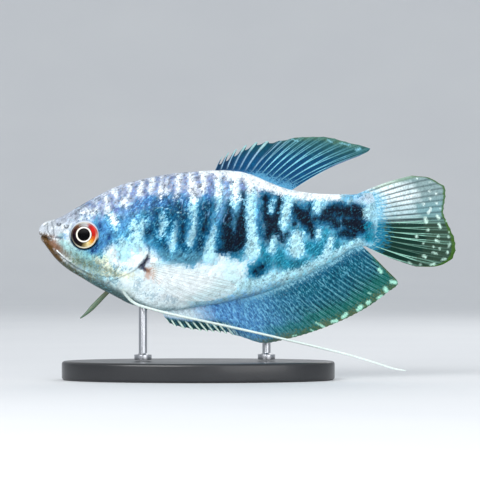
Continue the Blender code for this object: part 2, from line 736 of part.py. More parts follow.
for old in list(bpy.data.objects):
    bpy.data.objects.remove(old)
FISH = bpy.data.collections.new("opaline_gourami")
bpy.context.scene.collection.children.link(FISH)
ORIGIN = bpy.data.objects.new("middle_of_underside", None)
FISH.objects.link(ORIGIN)

build_head()
build_torso()
build_tail_stem()
for eye_name, eye_side in (("eye_left", -1), ("eye_right", 1)):
    eye(eye_name, eye_side)
build_dorsal_fin()
build_anal_fin()
build_caudal_fin()
build_pectoral_fin("pectoral_fin_left", -1)
build_pectoral_fin("pectoral_fin_right", 1)
build_feeler("pelvic_fin_left", LEFT_FEELER)
build_feeler("pelvic_fin_right", RIGHT_FEELER)
build_base()
build_rod("stand_rod_front", *FRONT_ROD)
build_rod("stand_rod_rear", *REAR_ROD)
for node in FISH.objects:
    if node.type == "MESH":
        finish(node)
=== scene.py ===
"""The looks of a life-size opaline gourami on its display stand.

Lengths in the tables are millimetres, and colours are red, green and blue from 0 to 255. A place on the
fish is (behind, across, above): behind the tip of the snout, across from the middle of the fish with its
right flank positive, and above the tip of the snout. The fish faces -X and its left flank faces -Y.
"""

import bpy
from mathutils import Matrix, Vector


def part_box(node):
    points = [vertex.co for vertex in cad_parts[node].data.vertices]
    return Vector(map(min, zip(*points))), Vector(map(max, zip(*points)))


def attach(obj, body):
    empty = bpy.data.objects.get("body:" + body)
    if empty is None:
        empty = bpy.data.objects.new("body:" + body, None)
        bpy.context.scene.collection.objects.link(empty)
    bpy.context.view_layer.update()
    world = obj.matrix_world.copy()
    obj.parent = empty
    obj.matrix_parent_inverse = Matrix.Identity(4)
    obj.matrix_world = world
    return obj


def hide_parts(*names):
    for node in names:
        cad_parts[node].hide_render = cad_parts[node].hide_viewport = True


bl_info = {
    "name": "Opaline Gourami",
    "version": (1, 0, 0),
    "blender": (4, 5, 0),
    "location": "3D View > Sidebar > Gourami",
    "description": "Builds a life-size opaline gourami on a display stand",
    "category": "Add Mesh",
}

import math
from collections import namedtuple

import bmesh
import bpy
import numpy as np
from mathutils import Vector

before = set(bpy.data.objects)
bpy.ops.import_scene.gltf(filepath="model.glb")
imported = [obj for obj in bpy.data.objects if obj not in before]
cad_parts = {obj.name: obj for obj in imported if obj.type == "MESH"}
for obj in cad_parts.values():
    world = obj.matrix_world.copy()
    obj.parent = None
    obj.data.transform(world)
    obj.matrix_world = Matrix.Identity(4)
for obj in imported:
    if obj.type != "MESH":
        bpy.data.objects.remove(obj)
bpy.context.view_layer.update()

MM = 0.001
BODY = "root"

# Where the fish is held, and its body in side view.
SNOUT_HEIGHT = 39.5
STAND_BEHIND = 42.0
BACK = [(0, 1.9), (1.6, 2.25), (2.9, 2.5), (5.5, 3.4), (8.7, 5.15), (13.5, 7.9), (18.2, 10.4), (23, 12.3),
        (27.7, 13.5), (32.4, 14.5), (40.4, 15.4), (48.3, 15.8), (53, 15.4), (57, 14.25), (61, 12.5),
        (65, 11.0), (69, 10.15), (75, 9.5), (81.5, 9.4), (84.5, 9.6), (88, 10.4)]
BELLY = [(0, -2.2), (0.8, -3.0), (1.6, -3.7), (2.4, -4.5), (4, -6.3), (5.5, -7.8), (8.7, -10.7),
         (11.9, -12.9), (15, -14.8), (18.2, -16.5), (21.4, -18.2), (24.5, -19.6), (28, -20.5),
         (31.5, -21.2), (37, -21.0), (42.5, -20.1), (48, -19.3), (53, -18.2), (58.3, -16.8),
         (63.6, -14.9), (69, -12.6), (74, -10.0), (79.4, -6.9), (82.6, -4.8), (85, -4.2), (88, -4.9)]
HALF_WIDTH = [(0, 1.5), (2.5, 2.5), (5, 3.2), (9, 4.3), (13, 5.1), (18, 5.9), (24, 6.6), (30, 6.9),
              (38, 6.8), (46, 6.3), (54, 5.5), (62, 4.5), (70, 3.5), (78, 2.4), (84, 1.5), (88, 1.0)]
WIDEST = [(0, -0.2), (4, -1.2), (9, -1.8), (16, -2.6), (24, -3.2), (34, -2.4), (46, -0.6), (60, 0.8),
          (72, 2.0), (88, 2.8)]
BACK_ROUNDNESS = [(0, 0.9), (10, 0.95), (24, 1.05), (50, 1.15), (70, 1.05), (88, 0.9)]
BELLY_ROUNDNESS = [(0, 0.9), (8, 1.05), (18, 1.0), (26, 0.85), (34, 1.0), (44, 1.25), (60, 1.3),
                   (76, 1.1), (88, 0.9)]
KEEL = 0.6
KEEL_ROUNDNESS = 0.3
NOSE_LENGTH = 2.5
GILL_EDGE = [(0, 23.0), (0.14, 25.0), (0.29, 27.2), (0.44, 28.3), (0.56, 29.0), (0.61, 28.7), (0.69, 26.2),
             (0.75, 23.7), (0.82, 20.8), (0.9, 18.2), (1, 16.8)]
GILL_TOP = 0.2
GILL_BOTTOM = 0.92
TAIL_CUT = 66.5
BODY_END = 86.0
BODY_END_BULGE = 1.4
BODY_DEPTH = 37.0
COVER_HEIGHT = 0.33
OPENING_DEPTH = 0.32
SHOULDER_HEIGHT = 0.45

# The skin's fineness: rings from snout to gill cover, to the tail stem and to the tail, and points a side.
HEAD_RINGS = 190
TORSO_RINGS = 92
TAIL_RINGS = 42
HALF_RING = 128
# Rings (further behind, share of the width) that close the skin over the tail fin's root.
CLOSING_RINGS = [(0.4, 0.84), (0.9, 0.6), (1.4, 0.36), (1.8, 0.16), (1.95, 0.0)]
# Points nearer to each other than this many metres become one.
WELD = 0.0001 * MM

# Arcs round the flank, from its widest level to the belly and to the back, and their fineness.
ARC_RANGE = (-36, 30)
ARC_STEPS = 265
ARC_ROWS = 350
ARC_DROPS = 220

# The scales: where they start, their rows and sizes in shares of the spacing, how deep a scale's foot lies,
# how far they keep from the eye and from the lines of the face, and how they are unrolled.
FIRST_SCALE = 4.0
HEAD_SCALE_SHARE = 0.62
SCALE_ROW_PITCH = 0.86
SCALE_LENGTH = 1.75
SCALE_WIDTH = 1.5
SCALE_FOOT = -0.12
SHIELD_SIDES = 10
SCALE_SEED = 7
EYE_MARGIN = 5.2
LINE_MARGIN = 0.5
SCALE_PATCH = 0.003
UNROLLED_LENGTH = 90
UNROLLED_GIRTH = 160

# The head's features.
EYE = (12.2, -1.35)
EYE_RADIUS = 4.0
EYE_DEPTH = 1.7
EYE_SUNK = 0.7
EYE_GAP = 0.04
PUPIL_AHEAD = 0.6
PUPIL_ABOVE = 0.3
MOUTH_START = 0.15
MOUTH_LEVEL = -1.4
MOUTH_CORNER = 3.4
MOUTH_SLOPE = -0.32
CHIN = 5.6
CHIN_LENGTH = 3.6
CHIN_FULLNESS = 0.6
NOSTRILS = [(5.4, 1.6, 0.3), (7.4, 1.1, 0.4)]
JAW_EDGE = [(5.3, -6.2), (7.4, -8.0), (10.0, -9.9), (13.5, -11.8), (17.0, -12.5), (20.0, -12.3)]
CHEEK_EDGE = [(21.6, -4.6), (21.5, -7.2), (21.1, -9.6), (20.2, -11.0)]
LIP_FOLDS = [[(2.3, 1.9), (2.4, -0.1), (3.5, -2.0)], [(3.4, 2.1), (4.0, 0.5), (4.1, -1.3)],
             [(1.4, 1.0), (2.1, 1.6)]]
FOLD_WIDTH = 0.22
# Colours round the iris, and how strongly the pale ring shows round it, by shares of a turn.
IRIS_HUES = [(0.0, (18, 8, 20)), (0.1, (14, 8, 16)), (0.18, (38, 30, 18)), (0.23, (150, 132, 84)),
             (0.29, (232, 214, 158)), (0.36, (226, 164, 62)), (0.44, (206, 96, 26)), (0.51, (176, 22, 12)),
             (0.62, (200, 34, 30)), (0.69, (150, 40, 44)), (0.74, (176, 178, 180)), (0.8, (150, 148, 146)),
             (0.86, (96, 62, 42)), (0.92, (52, 24, 24)), (1.0, (18, 8, 20))]
RING_SHARES = [(0.0, 0.05), (0.1, 0.25), (0.18, 0.95), (0.3, 1.0), (0.45, 0.75), (0.5, 0.4), (0.55, 0.12),
               (0.66, 0.05), (0.73, 0.4), (0.8, 0.45), (0.88, 0.1), (1.0, 0.05)]

# The fins. A ray runs from the body to a point of the tip line (share along the fin, behind, above).
DORSAL_ROOT = (46.3, 66.3)
DORSAL_TIPS = [(0, 48.3, 19.5), (0.08, 50.1, 20.6), (0.16, 52.2, 21.5), (0.25, 55.3, 22.7),
               (0.34, 58.6, 23.4), (0.42, 61.7, 23.5), (0.48, 64.6, 23.7), (0.54, 68.1, 24.5),
               (0.67, 74.7, 24.65), (0.8, 81.8, 23.1), (0.9, 87.4, 21.4), (1, 84.6, 19.6)]
ANAL_ROOT = (31.8, 84.8)
ANAL_TIPS = [(0, 34.4, -24.6), (0.03, 36.1, -25.4), (0.1, 41.6, -26.5), (0.2, 47.7, -27.1),
             (0.28, 52.5, -27.9), (0.35, 59.1, -29.8), (0.45, 65.7, -28.7), (0.6, 76.0, -25.5),
             (0.75, 85.7, -20.9), (0.86, 92.0, -16.4), (0.93, 94.7, -13.8), (0.965, 91.4, -10.2),
             (1, 86.6, -5.4)]
CAUDAL_TIPS = [(0, 98.4, 14.4), (0.07, 102.6, 14.0), (0.14, 105.3, 12.7), (0.22, 107.3, 11.2),
               (0.3, 107.4, 9.2), (0.4, 107.0, 6.6), (0.48, 106.8, 4.6), (0.56, 107.7, 2.4),
               (0.64, 108.8, -0.1), (0.72, 109.8, -2.6), (0.8, 110.0, -5.0), (0.87, 109.3, -7.3),
               (0.93, 107.0, -8.9), (0.97, 103.6, -9.7), (1, 99.5, -9.6)]
CAUDAL_LEAN = 1.6
PECTORAL_ROOT = ((28.9, -8.5), (29.9, -12.4))
PECTORAL_TIPS = [(0, 42.0, -11.2), (0.12, 47.5, -12.5), (0.25, 51.0, -13.7), (0.4, 52.3, -15.0),
                 (0.55, 51.0, -16.6), (0.7, 48.0, -17.8), (0.85, 43.0, -18.6), (1, 37.5, -18.4)]
PECTORAL_SINK = 0.5
PECTORAL_RISE = 1.5
PECTORAL_SPREAD = 3.2
FIN_WAVE = 0.35
FIN_GRAIN = 10
RAY_SEED = 11
# Widths are in spacings of the rays. A soft ray's two forks say how far each spreads, and the shares of the
# ray between which it opens.
SPINE_WIDTH = 0.17
RAY_WIDTH = (0.16, 0.085)
FORKS = [(0.17, 0.28, 0.75), (0.085, 0.58, 0.95)]
NOTCH_SIDES = (0.07, 0.36)
SOFT_NOTCH = 0.008
# The spines stand in the first share of a fin and the soft rays in the rest. Bare is how much of a spine
# stands free of the membrane, and bow how much a ray bends: each in front, and behind.
Fin = namedtuple("Fin", "spines rays spiny_share rows bow bare tips")
DORSAL_FIN = Fin(6, 11, 0.46, 56, (0.035, 0.035), (0.6, 0.07), DORSAL_TIPS)
ANAL_FIN = Fin(9, 38, 0.26, 46, (-0.025, -0.025), (0.08, 0.08), ANAL_TIPS)
TAIL_FIN = Fin(0, 17, 0.0, 64, (0.03, -0.03), (0.0, 0.0), CAUDAL_TIPS)
PECTORAL_FIN = Fin(0, 10, 0.0, 40, (0.03, -0.05), (0.0, 0.0), PECTORAL_TIPS)
BARE_UNTIL = 0.42

# The two feelers: (behind, across, above, half height, half thickness).
LEFT_FEELER = [(21.0, -2.2, -13.6, 0.4, 0.4), (23.3, -4.7, -17.3, 0.4, 0.36),
               (25.6, -4.6, -19.3, 0.38, 0.34), (30.5, -4.1, -20.9, 0.34, 0.34),
               (36, -3.6, -22.3, 0.36, 0.36), (43, -3.1, -23.8, 0.34, 0.34),
               (53, -2.8, -26.0, 0.33, 0.33), (63.5, -2.7, -28.4, 0.31, 0.31),
               (74, -2.8, -30.9, 0.3, 0.3), (82, -3.0, -32.9, 0.28, 0.28), (90, -3.4, -35.3, 0.26, 0.26),
               (93.5, -3.6, -36.4, 0.22, 0.22), (96.6, -3.8, -36.9, 0.12, 0.12)]
RIGHT_FEELER = [(21.4, 2.0, -12.6, 0.5, 0.5), (20.0, 4.2, -14.7, 0.5, 0.45),
                (18.2, 5.0, -16.1, 0.56, 0.4), (16.4, 5.1, -17.8, 0.64, 0.36),
                (14.2, 5.1, -20.1, 0.66, 0.32), (12.1, 5, -22.2, 0.38, 0.28),
                (10.6, 5.0, -23.4, 0.14, 0.14)]
FEELER_SIDES = 16
FEELER_GRAIN = 12

# The stand's rods, in metres.
ROD_RADIUS = 1.1 * MM
ROD_SUNK = 0.5 * MM
ROD_EDGE = 0.12 * MM
COLLAR_HEIGHT = 1.4 * MM
COLLAR_SLOPE = 0.45 * MM
COLLAR_RISE = 0.35 * MM

# The studio, in metres.
FLOOR_RADIUS = 1.0
SWEEP_RADIUS = 0.8
SWEEP_STEPS = 24
SKY_COLOUR = (236, 240, 244)
SKY_STRENGTH = 0.85
LIGHTS_AIM = (0.011, 0.0, 0.04)
CAMERA_DISTANCE = 0.8
CAMERA_X = 0.0110
CAMERA_Z = 0.0369
VIEW_WIDTH = 0.1266

# A stroke is a brush's path over the flank: places (behind, above, half width) from its start to its end,
# or one place for a dab. A wash is one colour laid on in such strokes. Soft is the width of its edge,
# grain how far that edge wanders, and strength how much it covers. Later washes lie over earlier ones.
Wash = namedtuple("Wash", "name colour strength soft grain strokes")
OUTSIDE_STROKES = -3.0
# Some washes bleed into what they lie on: the colour of that fringe, its reach and its strength.
FRINGES = {"flank_deep": ("mid_blue", 0.9, 0.7), "bar_dark": ("deep_teal", 1.0, 0.9),
           "bar_blue": ("deep_teal", 0.7, 0.7), "pale_patch": ("sky", 0.5, 0.6),
           "bar_white": ("sky", 0.45, 0.6), "flank_moss": ("sky", 0.6, 0.3), "rear_teal": ("sky", 0.8, 0.5)}
WASHES = [
    Wash("nape_grey", "lavender", 0.88, 1.4, 2.0, [
        [(5, 2.6, 0.9), (12, 5.5, 2.4), (20, 8.5, 3.4), (30, 11, 3.7), (42, 12.5, 3.6), (54, 12.5, 2.6),
         (62, 10.5, 1.5)], [(9, 2.4, 1.4), (13, 3.3, 1.0)]]),
    Wash("belly_white", "milk", 1.0, 1.5, 1.2, [
        [(24, -13, 3), (32, -14, 5), (42, -13, 5), (50, -11, 3.5), (56, -8, 2)],
        [(23, -16.5, 1.6), (30, -18.5, 2.4), (38, -18.6, 2.2)],
        [(20, -6.5, 2.6), (26, -7, 3.5), (30, -8, 2)], [(45, -8, 3), (52, -9, 3)]]),
    Wash("belly_cyan", "pale_cyan", 0.75, 1.6, 2.6, [
        [(50, -9.5, 1.6), (51.5, -13.5, 2.6), (46, -16.5, 1.8), (40, -18.6, 1.0)], [(54.5, -9, 1.4)]]),
    Wash("belly_bright", "white", 1.0, 1.4, 1.8, [
        [(30, -12.6, 1.2), (35, -12.4, 2.4), (40, -14, 2.4), (44, -13, 1.4)],
        [(21.6, -7.6, 1.2), (25, -7, 1.6)], [(32, -17.4, 0.6), (37, -17, 0.8)]]),
    Wash("belly_specks", "mottle", 0.5, 0.3, 4.6, [
        [(25.0, -12.4, 0.6), (26.8, -14.2, 0.6), (25.6, -16, 0.5)], [(29, -17, 0.1), (36, -18, 0.1)]]),
    Wash("throat_pale", "pale_grey", 0.75, 1.0, 2.6, [
        [(11, -11.4, 0.3), (16, -13.6, 0.9), (20.5, -15.0, 1.5), (24, -17, 1.3)]]),
    # The throat's grey-green, laid dark as painted shade under the head.
    Wash("throat_grey", "slate", 0.92, 1.0, 1.0, [
        [(4, -7.2, 0.8), (7, -9.6, 1.2), (12, -13.0, 1.7), (17, -15.9, 2.1), (23, -19.1, 2.1),
         (28, -21.2, 1.2)]]),
    Wash("snout_grey", "snout", 0.62, 0.7, 3.4, [
        [(1.4, 0.4, 1.2), (4, 1.6, 1.4), (8, 3.6, 1.6), (12, 5.6, 1.4)],
        [(2, -0.6, 0.6), (5.5, -0.4, 1.6), (7.5, 0.6, 0.8)]]),
    Wash("face_aqua", "aqua", 0.8, 1.2, 1.4, [
        [(6.5, -3.6, 1.5), (9, -5.8, 1.8), (13, -7.4, 1.7), (16.5, -8, 1.8)], [(6.4, -1.8, 0.8)]]),
    Wash("cheek_grey", "olive", 0.7, 1.2, 2.4, [
        [(7.5, -6.8, 0.8), (10.5, -8.4, 1.4), (14, -9.6, 1.4), (17, -11.4, 0.9)]]),
    Wash("cheek_cream", "cream", 0.85, 0.9, 2.6, [
        [(15.6, -8.0, 0.7), (17.6, -8.8, 1.4), (18.4, -10.8, 1.4), (21, -11.6, 0.9), (24.5, -11.8, 0.5)],
        [(10.4, -10.4, 0.2), (14, -12, 0.4)]]),
    Wash("cheek_freckles", "moss", 0.78, 0.35, 5.2, [
        [(7.8, -6.6, 0.3), (9.8, -7.7, 0.5), (12, -8.6, 0.8), (14.6, -9.3, 0.7), (17, -9.8, 0.3),
         (20.4, -11.9, 0.2)], [(11.8, -11.0, 0.4), (14, -12.2, 0.5), (17, -13, 0.2)]]),
    Wash("cheek_rust", "rust", 0.92, 0.9, 0.9, [
        [(2.2, -2.9, 1.0), (3.6, -3.8, 1.5), (5.3, -5.0, 1.2)], [(2.4, -1.5, 0.3), (3.9, -1.9, 0.4)]]),
    Wash("jaw_gold", "gold", 0.95, 0.6, 0.7, [
        [(0.6, -1.5, 0.8), (1.6, -2.0, 1.1), (2.5, -2.5, 0.6)],
        [(1.5, -3.5, 0.8), (2.8, -4.9, 1.0), (4.7, -6.8, 0.9), (6.6, -8.6, 0.5)]]),
    Wash("jaw_grey", "umber", 0.8, 0.8, 1.6, [[(5.9, -5.6, 0.8), (7.6, -6.7, 0.9)]]),
    # Painted shade in the groove along the cheek's edge.
    Wash("cheek_line", "moss", 0.55, 0.2, 0.0, [
        [(21.6, -5.0, 0.1), (21.2, -7.4, 0.14), (20.9, -9.8, 0.05)]]),
    Wash("face_plum", "plum", 0.75, 0.4, 0.5, [[(4.3, -1.9, 0.2), (6.1, -2.1, 0.4)]]),
    Wash("jaw_shade", "bronze", 0.85, 0.6, 1.4, [
        [(6.6, -8.8, 0.7), (8.6, -10.6, 1.1), (11.5, -12.4, 0.8)]]),
    # A painted highlight along the jaw's ridge.
    Wash("jaw_white", "white", 1.0, 0.12, 0.1, [[(4.8, -5.3, 0.12), (6.7, -7.1, 0.2)]]),
    Wash("head_blue", "blue", 0.9, 0.9, 1.3, [
        [(16.5, 1.5, 1.2), (18.4, 0, 1.9), (17.6, -2.3, 1.7), (15.3, -4.8, 1.2)], [(7.1, -1.5, 0.5)],
        [(22, 1.5, 1.8), (25, 3.2, 1.3)], [(58, 8, 0.7), (57.7, 3, 0.8), (57.7, -2, 0.9)]]),
    Wash("flank_violet", "violet", 0.92, 0.9, 2.4, [
        [(20.5, 5.6, 0.8), (22, 4.8, 1.4), (25.5, 6.3, 2.0), (29.5, 7.4, 2.2), (35, 8, 2.2),
         (39, 8.3, 1.8)], [(44.8, 10.5, 1.3), (44.5, 6, 1.4)],
        [(48.7, 10.5, 0.7), (47.9, 5, 1), (47.4, 2, 0.9)],
        [(49.4, 12, 0.4), (49.8, 9.4, 0.7), (50, 7.6, 0.7)]]),
    Wash("head_deep", "deep_violet", 0.95, 0.5, 1.6, [
        [(16.2, 1.4, 0.6), (16.7, 0.2, 0.6)], [(18.6, -1.4, 0.6), (17.9, -3.2, 0.4)],
        [(16.6, -3.3, 0.6), (15.2, -4.8, 0.8), (13.9, -5.7, 0.5)], [(19.4, -1.0, 0.3), (20.4, -1.6, 0.3)],
        [(20.2, 5.3, 0.7)], [(21.8, 3.4, 0.4)], [(24.9, 2.3, 0.35)], [(28.5, 9.0, 0.3), (29.3, 8.4, 0.4)],
        [(31, 7.8, 0.7), (33, 7.2, 0.8)], [(34.3, 9.6, 0.3), (35, 7.6, 0.7)], [(24.2, 8, 0.3)],
        [(25.8, 7.2, 0.5)], [(42.1, 8.2, 0.35)], [(44.1, 9, 0.3)], [(37.2, 7.4, 0.8), (39, 6.6, 0.8)]]),
    Wash("flank_deep", "deep_blue", 0.95, 0.8, 2.2, [
        [(28.7, -0.8, 1.5), (29.3, 1, 1.8), (29.8, 4, 2), (31, 6.2, 1.9), (35, 6.6, 2.2), (39, 6.3, 1.8)],
        [(31, 3, 1.9), (30.8, 0, 1.5), (31.8, -2.5, 1.5), (33.6, -4.3, 1.3), (34, -5.6, 1.1)],
        [(34, 4, 2.3), (37.5, 3.5, 2.4), (37.9, 0, 1.6), (37.2, -3, 1.3), (38.5, -5.8, 2.1),
         (40, -7.3, 1.5)], [(34.2, 2.5, 1.3), (34.2, 0, 1.2)],
        [(44.3, 6.5, 2.1), (43, 3, 2.2), (42.8, 0, 2), (42.4, -3, 1.9), (41.9, -6, 1.8)],
        [(48.5, 1, 1.3), (47.6, -1.5, 1.2), (47.6, -4.5, 1.3)], [(58.2, 2, 0.6), (58.7, -1.5, 1.0)],
        [(60.3, 8, 1.8), (60.6, 4, 2.3)], [(68.5, 4.2, 2.8), (71, 1.5, 2)], [(71.5, 6.3, 1.3)],
        [(72.4, 3.2, 1.5), (74.5, 2.4, 1.5), (77.5, 0.5, 1.3)], [(57.2, -10.8, 1.6), (59.2, -9.4, 1.1)],
        [(78, 5, 2.3), (84.6, 4, 2.3)], [(80, -0.6, 1.8), (85.6, 0, 2.1)]]),
    Wash("flank_indigo", "indigo", 0.85, 0.9, 2.6, [
        [(24.6, 5.6, 0.9), (28.6, 6.9, 1.3), (33.6, 7.4, 1.3), (38.6, 7.2, 1.2)],
        [(29.6, 5.2, 0.9), (30.2, 3.2, 0.6)], [(44.6, 8.2, 1.0), (45, 6.6, 0.6)],
        [(36.2, 5.6, 0.6), (38.4, 5.2, 0.6)]]),
    Wash("flank_moss", "mottle", 0.85, 0.9, 1.8, [
        [(32.8, -6.2, 1.2), (35, -7.2, 1.5), (38.5, -7.6, 1.6), (42, -7.2, 1.4)]]),
    Wash("rear_cyan", "cyan", 0.85, 1.6, 2.2, [
        [(58, -5, 2.6), (65, -7, 4.2), (76, -3.5, 3.6), (84, -2.4, 1.6)]]),
    Wash("rear_teal", "teal", 0.9, 0.9, 1.8, [
        [(58.5, -4.6, 1.3), (60, -8, 2), (57, -10.6, 2.2)],
        [(62.8, -5.5, 1.3), (63.5, -8.5, 2), (67, -9.4, 1.9), (70, -8.6, 1.6)],
        [(71, -4.2, 1.8), (73.2, -5.6, 2), (74.8, -3, 1.3), (75.2, -0.5, 1.3)],
        [(78.1, -1.5, 1.1), (78.4, -5, 1.2)], [(50.6, -6.4, 0.9), (52.5, -6.4, 1.3), (54.2, -5.4, 1.1)],
        [(86, -1.5, 1.3), (88, -2, 1.3)], [(66, 0.8, 1.1), (69.5, -0.5, 1.1)]]),
    Wash("pale_patch", "ice", 0.92, 0.6, 1.8, [
        [(19.2, 3.8, 0.5), (19.8, 2, 0.8), (20.4, 0.3, 0.4)],
        [(25.2, 1, 1), (25.8, -1.5, 1.4), (25.8, -4, 1.6)], [(27.4, 2.2, 0.7), (27.2, -1, 0.8)],
        [(32.6, 3.7, 0.3), (32.6, 1.5, 0.45), (32.2, -1, 0.3)],
        [(35.9, -0.8, 0.5), (35.4, -2.6, 0.9), (34.9, -4.2, 0.7)],
        [(40.6, 8, 0.7), (40.6, 4, 0.6), (40.9, 1, 0.6), (40.3, -1.5, 0.9), (39.6, -3.4, 0.7)],
        [(46.1, 1.6, 0.3), (45.4, -1.6, 0.6), (44.9, -4.4, 1.2), (45, -7, 1.8)],
        [(47.3, 12.5, 0.8), (47.3, 8, 0.7), (46.8, 5, 0.4)], [(36.3, 2, 0.2), (36.3, 0.3, 0.2)],
        [(22, -3.2, 1.2), (22.5, -6, 1.8)]]),
    Wash("bar_blue", "night", 0.9, 0.8, 2.6, [
        [(29.2, -0.7, 0.9)], [(30.7, 4.4, 0.5)], [(31, 1.5, 0.5)], [(33, -4.2, 0.4)],
        [(36.6, 6.4, 0.7), (37.6, 4, 0.9), (37.9, 1, 0.9), (37.9, -1, 0.8), (37.3, -2.8, 0.6)],
        [(46, 6.8, 0.4), (44.6, 6.2, 0.9), (44, 4.5, 1.2), (43.8, 2, 1.3), (43.4, 0, 1.2),
         (42.8, -2.2, 1), (42.2, -4.4, 0.8)]]),
    Wash("bar_dark", "navy", 1.0, 0.7, 2.1, [
        [(37.9, 1.6, 0.1), (37.8, -0.6, 0.2)], [(44.2, 3.6, 0.3), (43.8, 1.6, 0.5), (43.2, -0.6, 0.4)],
        [(50.2, 7.2, 0.4), (50, 6, 0.7), (49.8, 3.5, 0.9), (49.6, 0.8, 1.2), (50.2, -2, 2),
         (50, -4.2, 1.7)],
        [(53.5, 9.6, 0.45), (53.9, 7.5, 0.7), (53.9, 5, 0.9), (53.2, 2.8, 1.4), (53.4, 0, 1.5),
         (52.6, -2.6, 2.2), (52, -4.4, 1.4)], [(48.2, -5.2, 0.6), (50, -4.6, 1.2)],
        [(59.6, 8.6, 0.7), (59.6, 6, 0.9), (59.8, 3.8, 1.1), (61, 1.4, 1.9), (60.3, -1.2, 1.1),
         (60, -3.2, 0.5)],
        [(64.1, 9.3, 0.4), (63.4, 7.8, 0.9), (63, 5.6, 0.9), (62.3, 3.4, 1.3), (62.4, 0.8, 1.2),
         (63.4, -1.2, 0.8), (63.9, -2.8, 0.6)], [(65.3, -1.2, 0.5)],
        [(67.2, 6, 0.5), (68.2, 4.4, 1.4), (69.6, 3.4, 1.8), (70.8, 1.8, 1.2), (71.6, 0.2, 0.9),
         (72, -1.6, 0.6)], [(71.4, 5.6, 0.7), (70.4, 4.6, 0.8)], [(67.3, 1.6, 0.5)], [(72.8, 3.2, 0.6)],
        [(75.3, 4.6, 1.1), (78, 5.3, 1.4), (80.5, 4.6, 1.8), (83, 5, 1.8), (84.4, 4.4, 1.4)],
        [(74.3, 3, 0.7), (77, 3, 1.1), (78.5, 1.4, 0.8)],
        [(81, 2, 1.5), (83.4, 1, 2.2), (85.3, 0.7, 1.4)], [(80, -0.8, 1), (82.5, -1, 1)],
        [(57.2, -10.8, 0.8), (59.2, -9.4, 0.4)]]),
    Wash("bar_white", "ice", 0.97, 0.55, 1.3, [
        [(51.8, 14.5, 1.1), (51.8, 10.5, 1), (51.6, 7.8, 0.6), (51.4, 5.8, 0.3)],
        [(55.3, 14, 1.1), (55.7, 9, 0.8), (55.7, 5, 0.85), (55.7, 1, 0.85), (56.2, -2.5, 1.3),
         (56, -5.5, 1.8)], [(65.6, 8.6, 0.8), (65.1, 5.5, 0.8), (64.6, 3, 0.8), (64.2, 0.9, 0.7)],
        [(73.7, 8.8, 0.8), (73.4, 6.6, 0.9), (73, 5, 0.6)], [(61.6, -3.2, 0.5), (61.2, -5.2, 0.8)],
        [(67.9, -1.6, 1.5), (67.6, -5, 2.1)], [(73.7, -0.4, 0.35), (73.5, -1.8, 0.4)],
        [(77, -2.2, 0.6), (76.4, -4.2, 0.8), (75.4, -6.6, 0.9)], [(61.6, 7.6, 0.2), (60.9, 5, 0.3)]]),
    Wash("back_white", "white", 0.95, 0.7, 0.9, [
        [(43, 15, 0.8), (50, 15, 1.4), (57, 13.5, 1.7), (63, 11, 1.3), (70, 9.6, 1.4), (77, 9.1, 1.2),
         (79, 8.9, 0.6)]]),
    Wash("nape_white", "white", 0.9, 0.9, 1.6, [
        [(12.2, 4.6, 0.5), (14.4, 4.4, 0.6), (15.4, 6.4, 0.5)],
        [(17.8, 8.6, 0.6), (17.8, 6.6, 0.8), (18.2, 4.6, 0.8)], [(19.8, 3.4, 0.9), (20.2, 2.2, 0.6)],
        [(20.3, 10.4, 0.5), (20.4, 9, 0.4)], [(22.4, 7.4, 0.9), (23.4, 7, 0.8)],
        [(23.8, 11.6, 0.6), (23.4, 9, 0.7)], [(26.8, 12.6, 0.6), (26.7, 9.8, 0.6)],
        [(29.8, 13.4, 0.8), (29.6, 10.8, 0.7)], [(32.2, 13.6, 0.6), (32, 10.4, 0.5), (32, 8.8, 0.3)],
        [(33.6, 13, 0.4), (33.4, 10, 0.4)], [(36.8, 14, 0.7), (36.5, 11.4, 0.5), (36, 8.6, 0.25)],
        [(39.8, 14.4, 0.7), (40, 12, 0.8), (40.6, 8.4, 0.8)],
        [(43.2, 14.6, 0.7), (43.2, 12.6, 0.8), (43, 10.6, 0.5)],
        [(47.2, 14.8, 0.8), (47, 12.8, 0.6), (47.3, 9.5, 0.7)],
        [(51.8, 14.5, 1.0), (51.8, 10.5, 0.9), (51.6, 8.2, 0.5)], [(55.3, 14, 1.0), (55.6, 10, 0.6)]]),
    Wash("nape_bars", "heather", 0.95, 0.75, 1.9, [
        [(12.8, 7.0, 0.4), (14.8, 6.2, 0.4)], [(16.3, 8.2, 0.35), (16.7, 7.2, 0.3)],
        [(16.2, 6.4, 0.4), (16.6, 5.2, 0.4), (16.9, 4.2, 0.3)], [(14.9, 3.6, 0.3), (15.8, 2.9, 0.35)],
        [(18.6, 8.9, 0.4), (19.4, 8.3, 0.4), (19.3, 7.4, 0.45), (19.8, 5.8, 0.55), (20.3, 4.8, 0.4)],
        [(20.9, 7.2, 0.35), (21.4, 8.2, 0.35), (21.3, 10.6, 0.3)], [(22.6, 9.2, 0.3), (22.8, 11.3, 0.35)],
        [(24.1, 7.2, 0.3), (24.7, 9.4, 0.4), (25.3, 11.2, 0.35), (26, 12.4, 0.3)],
        [(27.7, 9.6, 0.4), (28.1, 11, 0.45), (28.5, 12.8, 0.4)],
        [(30.6, 10.4, 0.35), (31.1, 12, 0.4), (31.4, 13.6, 0.5)], [(32.8, 11.6, 0.2), (33.2, 13.9, 0.25)],
        [(34.3, 11.4, 0.4), (34.5, 12.6, 0.5), (34.8, 13.8, 0.7)], [(35.6, 10.4, 0.5), (35.2, 12.2, 0.4)],
        [(38.2, 10.6, 0.4), (38.5, 12.6, 0.4), (38.3, 14.3, 0.35)],
        [(41.2, 14.4, 0.5), (42.1, 13.2, 0.4), (42.2, 11.8, 0.35)],
        [(44.4, 12.8, 0.3), (44.7, 14.4, 0.45)], [(45.5, 14.4, 0.4), (45.4, 12, 0.6), (45.2, 10, 0.6)],
        [(48.5, 12.2, 0.45), (48.6, 14.4, 0.3)], [(53.4, 13.2, 0.4), (53.6, 11, 0.6)]]),
